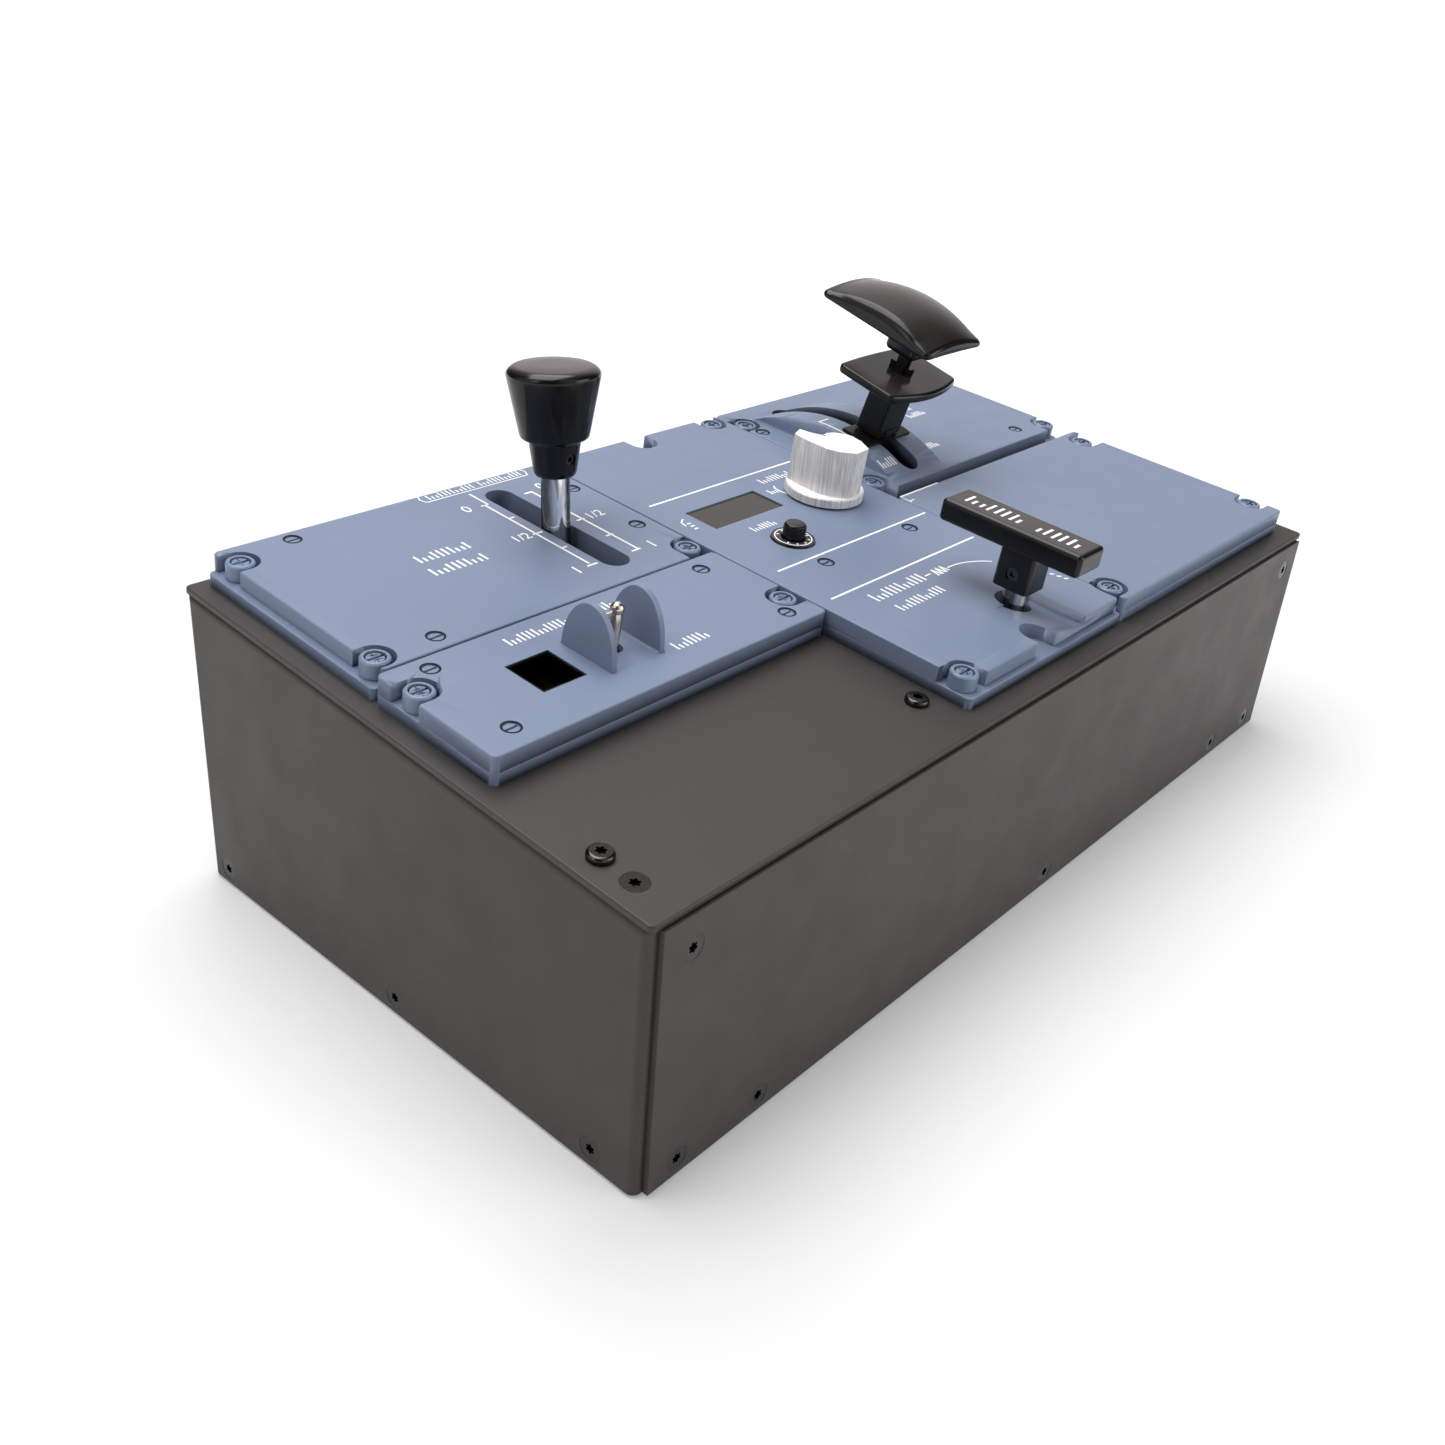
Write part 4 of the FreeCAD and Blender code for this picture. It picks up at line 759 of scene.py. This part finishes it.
def speed_brake_marks(work):
    """Two scales beside the lever's slot, a boxed label behind it and a two-line label."""
    left, right = 109.0, 131.8
    stroke(work, [(110.4, 201.4), (110.4, 190.9), (107.2, 190.9)], LINE)
    stroke(work, [(left, 190.9), (left, 136.4)], LINE)
    for y, low, high in ((177.9, 0, 2.6), (163.5, -1.4, 3.2), (150.2, 0, 2.6), (135.2, -2, 2.8)):
        stroke(work, [(left + low, y), (left + high, y)], LINE)
    stroke(work, [(right, 191), (right, 135.6)], LINE)
    for y, low, high in ((191.0, -3.6, 0.4), (163.6, -2.7, 1.0), (148.7, -2.6, 0.9),
                         (135.0, -3.4, 0.9)):
        stroke(work, [(right + low, y), (right + high, y)], LINE)
    numeral(work, "0", 101, 191.5, 5)
    numeral(work, "1/2", 102.5, 163.8, 4.6)
    numeral(work, "1", 102, 135, 5)
    numeral(work, "0", 138, 193, 5)
    numeral(work, "1/2", 138.4, 164, 4.6)
    numeral(work, "1", 139, 135.3, 5)
    outline = [(92.7, 203.6), (140.9, 203.6), (142.3, 206.5), (141.2, 209.4), (92.9, 209.4),
               (91.6, 206.5), (92.7, 203.6)]
    for start, end in zip(outline, outline[1:]):
        stroke(work, [start, end], 0.5)
    bars(work, 105.5, 206.5, 6, 3.7, 3.6, 0.6)
    bars(work, 129.2, 206.5, 6, 3.5, 3.6, 0.6)
    bars(work, 72.2, 169.6, 5, 4.6, 4.9, 0.85)
    bars(work, 71.2, 159.9, 5, 4.8, 4.9, 0.85)


def door_marks(work):
    """Labels on the left and right of the guarded toggle."""
    bars(work, 62.5, 111.6, 7, 3.7, 4.4, 0.7)
    bars(work, 88, 111.6, 4, 3.7, 4.4, 0.7)
    bars(work, 99, 80.2, 4, 4.0, 4.4, 0.7)


def centre_marks(work):
    """Divider lines, labels of the display, dial and trim knob, and the handle's diagram."""
    stroke(work, [(161.2, 158.0), (255.6, 158.0)], LINE)
    stroke(work, [(161.6, 95.4), (253.7, 95.4)], LINE)
    stroke(work, [(161.2, 71.3), (251.6, 71.3)], LINE)
    stroke(work, arc((219.0, 61.8), (230.8, 59.8), (238.9, 55.0), 14), FINE)
    stroke(work, [(205.6, 62.6), (209, 62.6)], FINE)
    for i in range(3):
        x = 210.8 + i * 2.6
        stroke(work, [(x, 59.8), (x + 1.0, 64.4)], 0.8)
        stroke(work, [(x + 1.0, 64.4), (x + 2.0, 60.2)], 0.8)
    for i in range(3):
        stroke(work, [(249.4 + i * 0.7, 36.4 - i * 2.6), (250.8 + i * 0.7, 35.2 - i * 2.6)], 0.9)
    stroke(work, [(164.0, 143.4), (161.2, 141.6), (160.6, 138.6)], FINE)
    for i in range(3):
        stroke(work, [(162.2 - i * 0.3, 139.6 - i * 2.2), (164.2 - i * 0.3, 139.6 - i * 2.2)],
               0.8)
    bars(work, 186.3, 123.0, 4, 3.4, 3.8, 0.65)
    bars(work, 226.5, 150.8, 5, 3.8, 4.2, 0.65)
    bars(work, 215.5, 142.0, 2, 3.2, 3.8, 0.65)
    stroke(work, arc((219.5, 145.2), (217.6, 141.0), (219.0, 136.8), 10), FINE)
    bars(work, 189.2, 63.2, 6, 5.2, 5.4, 0.85)
    bars(work, 189.5, 53.6, 6, 4.6, 4.4, 0.75)


def flap_marks(work):
    """Labels on the right of the flap lever's slot."""
    bars(work, 317.1, 136.8, 4, 3.2, 4.6, 0.75)
    bars(work, 345.7, 163.6, 4, 3.2, 4.0, 0.7)
    bars(work, 345.7, 170.0, 3, 3.2, 3.4, 0.7)


def blank_marks(work):
    """The short line at the blank panel's rear left corner."""
    stroke(work, [(257.7, 104.6), (257.7, 110.2), (284.6, 110.2)], LINE)
    stroke(work, [(257.4, 105.6), (260.9, 105.6)], FINE)


def hump_stroke(work, start, end, wide=0.45):
    """A line on the saddle between (x, degrees from its crown) pairs, straight along either."""
    radius = HUMP_RADIUS + 0.04
    under = radius - 0.1
    rings = []
    steps = 6
    for i in range(steps + 1):
        t = i / steps
        x = start[0] + (end[0] - start[0]) * t
        angle = math.radians(start[1] + (end[1] - start[1]) * t)
        if start[0] == end[0]:
            ring = [(x - wide, radius, angle), (x + wide, radius, angle),
                    (x + wide, under, angle), (x - wide, under, angle)]
        else:
            swing = wide / radius
            ring = [(x, radius, angle - swing), (x, radius, angle + swing),
                    (x, under, angle + swing), (x, under, angle - swing)]
        rings.append([(a, b * math.sin(c), b * math.cos(c)) for a, b, c in ring])
    skin_rings(work, rings)


def hump_marks():
    """The white bracket on the saddle's top and the generic label at its front end."""
    work = bmesh.new()
    for start, end in (((-15.5, -10), (-15.5, 4)), ((-15.5, 4), (-9, 4)),
                       ((-15.5, -10), (-12.5, -10))):
        hump_stroke(work, start, end)
    for x, share in ((-16.9, 1.0), (-15.2, 0.55), (-13.3, 0.55), (-11.6, 1.0), (-9.7, 1.0),
                     (-8.0, 1.0)):
        hump_stroke(work, (x, -25.3), (x, -25.3 + 3.6 * share), 0.37)
    mesh = to_mesh(work, "hump_marks", FLAP_PIVOT)
    finish_mesh("hump_marks", mesh, "white_ink", "console")


# ---- knobs, grips and other turned pieces --------------------------------------------------

def make_brake_knob():
    """Tapered knob turned from one profile, with the hole of its grub screw in the collar."""
    foot, step, top, wide = 85.0, 98.0, 124.0, 16.65
    work = bmesh.new()
    profile = [(5.25, foot + 0.5), (5.25, foot), (6.9, foot), (7.7, foot + 1.6), (9.15, step - 1.0),
               (9.7, step), (12.1, step + 0.7), (12.9, step + 4.6), (wide, top - 2.6),
               (wide - 2.4, top - 0.5), (wide - 9, top), (0.01, top)]
    lathe(work, soft_profile(profile, 2.2, 6), 96)
    body = to_mesh(work, "speed_brake_knob_turned", BRAKE)
    tool = bmesh.new()
    lathe(tool, [(2.0, 5.4), (2.0, 12)], 32)
    tool.transform(Matrix.Translation((0, 0, foot + 7)) @ Matrix.Rotation(math.pi / 2, 4, "X"))
    cutter = to_mesh(tool, "Cutter", BRAKE)
    body = cut_away(body, cutter)
    finish_mesh("speed_brake_knob_turned", body, "gloss_black", "speed_brake_handle",
                ("speed_brake_knob",), 50)


def make_flap_grip():
    """Arched wing grip: one section swept across, drawn in towards its rounded ends."""
    under_front, under_rear = (-17.0, 122.4), (34.0, 122.7)
    top_front, top_rear = (-17.8, 128.7), (33.2, 129.0)
    section = arc(under_rear, (36.6, 126.0), top_rear, 10)[:-1]
    section += arc(top_rear, (9, 134.2), top_front, 36)[:-1]
    section += arc(top_front, (-20.1, 125.4), under_front, 12)[:-1]
    span = 30
    section += [Vector(under_front).lerp(Vector(under_rear), i / span) for i in range(span)]
    half, edge, droop = 20.0, 3.0, 3.6
    base, rise = 122.5, 8.0
    stations = [-half + edge * (1 - math.cos(math.pi / 2 * i / 8)) for i in range(9)]
    inner = [(-half + edge) + (2 * (half - edge)) * i / 14 for i in range(1, 14)]
    stations += inner + [-x for x in reversed(stations)]
    rings = []
    for x in stations:
        past = max(0.0, abs(x) - (half - edge))
        draw = edge - math.sqrt(max(0.0, edge * edge - past * past))
        fall = droop * (x / half) ** 2
        loop = inset_loop(section, draw)
        ring = []
        for point in loop:
            lift = max(0.0, min(1.0, (point.y - base) / rise))
            ring.append((x, point.x, point.y - fall * lift))
        rings.append(ring)
    work = bmesh.new()
    skin_rings(work, rings)
    soft_box(work, (-8.4, -7.8, 113.6), (8.4, 7.4, 124.5), 2.4, 5)
    mesh = to_mesh(work, "flap_grip_moulded", FLAP)
    finish_mesh("flap_grip_moulded", mesh, "gloss_black", "flap_lever",
                ("flap_grip",), 50)


# The trim knob's plan outline about its shaft and the height of its top, in millimetres.
TRIM_OUTLINE = [(-9.3, 12), (-3.5, 14.3), (-1.8, 8.4), (-0.1, 5.5), (3.6, 5.9), (6.3, 4.9),
                (8.9, 2), (10.2, -1.8), (9, -7.1), (5.3, -13.4), (-3.2, -14.3), (-8.2, -9.4),
                (-10.2, -4.9), (-10.2, 4)]
TRIM_TOP = 33.0


def make_trim_knob():
    """Milled knob: a lobed body with fine vertical cutter marks over a round flange."""
    random.seed(7)
    corners = [Vector(p) for p in reversed(TRIM_OUTLINE)]
    loop = []
    for start, end in zip(corners, corners[1:] + corners[:1]):
        steps = max(2, int((end - start).length / 0.5))
        loop += [start.lerp(end, i / steps) for i in range(steps)]
    if sum(a.x * b.y - b.x * a.y for a, b in zip(loop, loop[1:] + loop[:1])) < 0:
        loop.reverse()
    depth = [random.uniform(0.0, 0.2) for point in loop]
    edge = 0.45
    rings = []
    for inset, z in ((0, 14.0), (0, TRIM_TOP - edge), (0.13, TRIM_TOP - 0.14), (edge, TRIM_TOP)):
        flat = inset_loop(loop, inset)
        fade = 0.0 if inset else 1.0
        marked = []
        for i, point in enumerate(flat):
            along = (flat[(i + 1) % len(flat)] - flat[i - 1]).normalized()
            marked.append(point + Vector((-along.y, along.x)) * depth[i] * fade)
        rings.append([(p.x, p.y, z) for p in marked])
    work = bmesh.new()
    skin_rings(work, rings)
    lathe(work, [(14.9, 10.3), (15.7, 10.7), (15.7, 13.7), (15.3, 14.15), (3, 14.2)], 96)
    mesh = to_mesh(work, "trim_knob_milled", TRIM)
    mesh.materials.append(LOOKS["silver"])
    mesh.materials.append(LOOKS["silver_top"])
    for face in mesh.polygons:
        if face.normal.dot(NORMAL) > 0.9:
            face.material_index = 1
    finish_mesh("trim_knob_milled", mesh, "silver", "trim",
                ("trim_knob",), 25)


def make_trim_dot():
    """The dark pointer dot on the trim knob's top."""
    work = bmesh.new()
    low, high, radius = TRIM_TOP - 0.02, TRIM_TOP + 0.03, 0.55
    lathe(work, [(0.01, low), (radius, low), (radius, high), (0.01, high)], 20, (-0.2, 4.4, 0))
    finish_mesh("trim_dot", to_mesh(work, "trim_dot", TRIM), "matt_black", "trim")


def make_dial_scale():
    """White scale ring and nine marks on the dial's black bezel."""
    work = bmesh.new()
    low, high = 10.57, 10.65
    inner, outer = 6.7, 7.15
    lathe(work, [(inner, low), (outer, low), (outer, high), (inner, high)], 72, closed=True)
    for i in range(9):
        angle = math.radians(-160 + i * 35)
        outward = Vector((math.cos(angle), math.sin(angle)))
        stroke(work, [outward * 5.4, outward * 6.3], 0.7, (low, high))
    finish_mesh("dial_scale", to_mesh(work, "dial_scale", DIAL), "white_ink", "console")


def make_dial_cap():
    """Small knob with 24 grip ribs."""
    work = bmesh.new()
    profile = [(2.2, 9.0), (4.25, 9.0), (4.1, 15.7), (3.6, 16.35), (0.01, 16.4)]
    lathe(work, soft_profile(profile, 0.5, 4), 64)
    ribs, rib_radius, rib_middle = 24, 4.12, 12.4
    for i in range(ribs):
        angle = 2 * math.pi * i / ribs
        at = Vector((math.cos(angle), math.sin(angle), 0)) * rib_radius
        at.z = rib_middle
        turn = Matrix.Translation(at) @ Matrix.Rotation(angle, 4, "Z")
        for vert in bmesh.ops.create_cube(work, size=1.0)["verts"]:
            vert.co = turn @ Vector((vert.co.x * 0.3, vert.co.y * 0.45, vert.co.z * 5.6))
    finish_mesh("dial_cap_turned", to_mesh(work, "dial_cap_turned", DIAL), "gloss_black",
                "dial_knob", ("dial_cap",), 40)


def make_toggle_bat():
    """Tapered bat with a ball tip, a small tab on its left and its pivot ball."""
    work = bmesh.new()
    shaft = [(0.01, 0), (1.4, 0), (1.4, 3.2), (1.75, 6.0), (2.05, 17.6), (1.8, 18.2), (1.8, 18.6)]
    centre, radius = 19.6, 2.35
    for i in range(13):
        angle = math.radians(-18 + 108 * i / 12)
        shaft.append((max(0.01, radius * math.cos(angle)), centre + radius * math.sin(angle)))
    lathe(work, shaft, 40)
    lathe(work, [(0.01, -2.6), (1.6, -2.05), (2.6, 0), (1.6, 2.05), (0.01, 2.6)], 32)
    soft_box(work, (-5.6, -0.6, 17.0), (-1.4, 0.6, 19.8), 0.35, 3)
    finish_mesh("toggle_bat_turned", to_mesh(work, "toggle_bat_turned", TOGGLE), "nickel",
                "toggle", ("toggle_bat",), 40)


def make_handle_label():
    """A generic raised label on the parking handle in place of words."""
    work = bmesh.new()
    top = 38.8
    level = (top - 0.02, top + 0.06)
    foot, tall = -4.2, 6.6
    pitch, first_word, second_word = 6.0, 24.2, -4.6
    places = [first_word - pitch * i for i in range(4)]
    places += [second_word - pitch * i for i in range(3)]
    for i, y in enumerate(places):
        for shift, share in zip((1.4, -1.4), BAR_PAIRS[i % 3]):
            stroke(work, [(foot, y + shift), (foot + tall * share, y + shift)], 1.05, level)
    finish_mesh("park_label", to_mesh(work, "park_label", PARK), "white_ink", "park_brake")


# ---- build ---------------------------------------------------------------------------------

LOOKS = make_materials()
make_camera()
make_studio()

# Nodes that keep their CAD shape. Every other node is replaced by a detailed piece below.
PLAIN = {
    "case_black": ("bottom_tray", "left_panel", "right_panel", "top_plate", "front_panel",
                   "rear_panel"),
    "stud_blue": ("panel_screws",),
    "screw_black": ("case_screws", "deck_screws", "speed_brake_grub_screw",
                    "park_grub_screw"),
    "gloss_black": ("flap_trigger", "park_handle", "dial_ring", "flap_trigger_pin"),
    "satin_black": ("flap_arm", "flap_pointer"),
    "deep_black": ("indicator_lamp",),
    "steel": ("trim_shaft", "dial_stem", "usb_inlet"),
    "chrome": ("park_post", "speed_brake_rod"),
    "zinc": ("speed_brake_bracket", "flap_bracket", "lever_pivot_pins", "park_lift_collar",
             "flap_trigger_springs", "speed_brake_hub"),
    "matt_black": ("speed_brake_sensor", "flap_sensor", "trim_encoder", "dial_switch",
                   "park_switch", "toggle_switch", "display_module"),
    "natural_plastic": ("speed_brake_pinion", "flap_pinion"),
    "smoked_glass": ("display_window",),
    "green_board": ("controller_board",),
    "brass": ("board_spacers",),
    "rubber": ("rubber_feet",),
}
for look_name, members in PLAIN.items():
    for member in members:
        paint(member, look_name)

for place_name in ("speed_brake", "door", "centre", "flap", "blank"):
    rounded(place_name + "_top_layer", top_rim, PANEL_TOP, 0.6)
    rounded(place_name + "_base", top_rim, BASE_TOP, 0.3)
rounded("toggle_guard", ear_edges, PANEL_TOP, 0.35)
refined("stud_collars", "stud_blue", 0.3)
refined("quarter_turn_studs", "stud_blue", 0.15)
# Painted shadow in the gaps round the panel screws and the studs.
shadow_rings("panel_screw_painted_shadows", "panel_screws", -0.41, 2.55, 3.25)
shadow_rings("stud_painted_shadows", "quarter_turn_studs", 0.35, 2.85, 3.5)

for legend_name, draw in (("legend_speed_brake", speed_brake_marks), ("legend_door", door_marks),
                          ("legend_centre", centre_marks), ("legend_flaps", flap_marks),
                          ("legend_blank", blank_marks)):
    legend(legend_name, draw)
hump_marks()
make_brake_knob()
make_flap_grip()
make_trim_knob()
make_trim_dot()
make_dial_scale()
make_dial_cap()
make_toggle_bat()
make_handle_label()
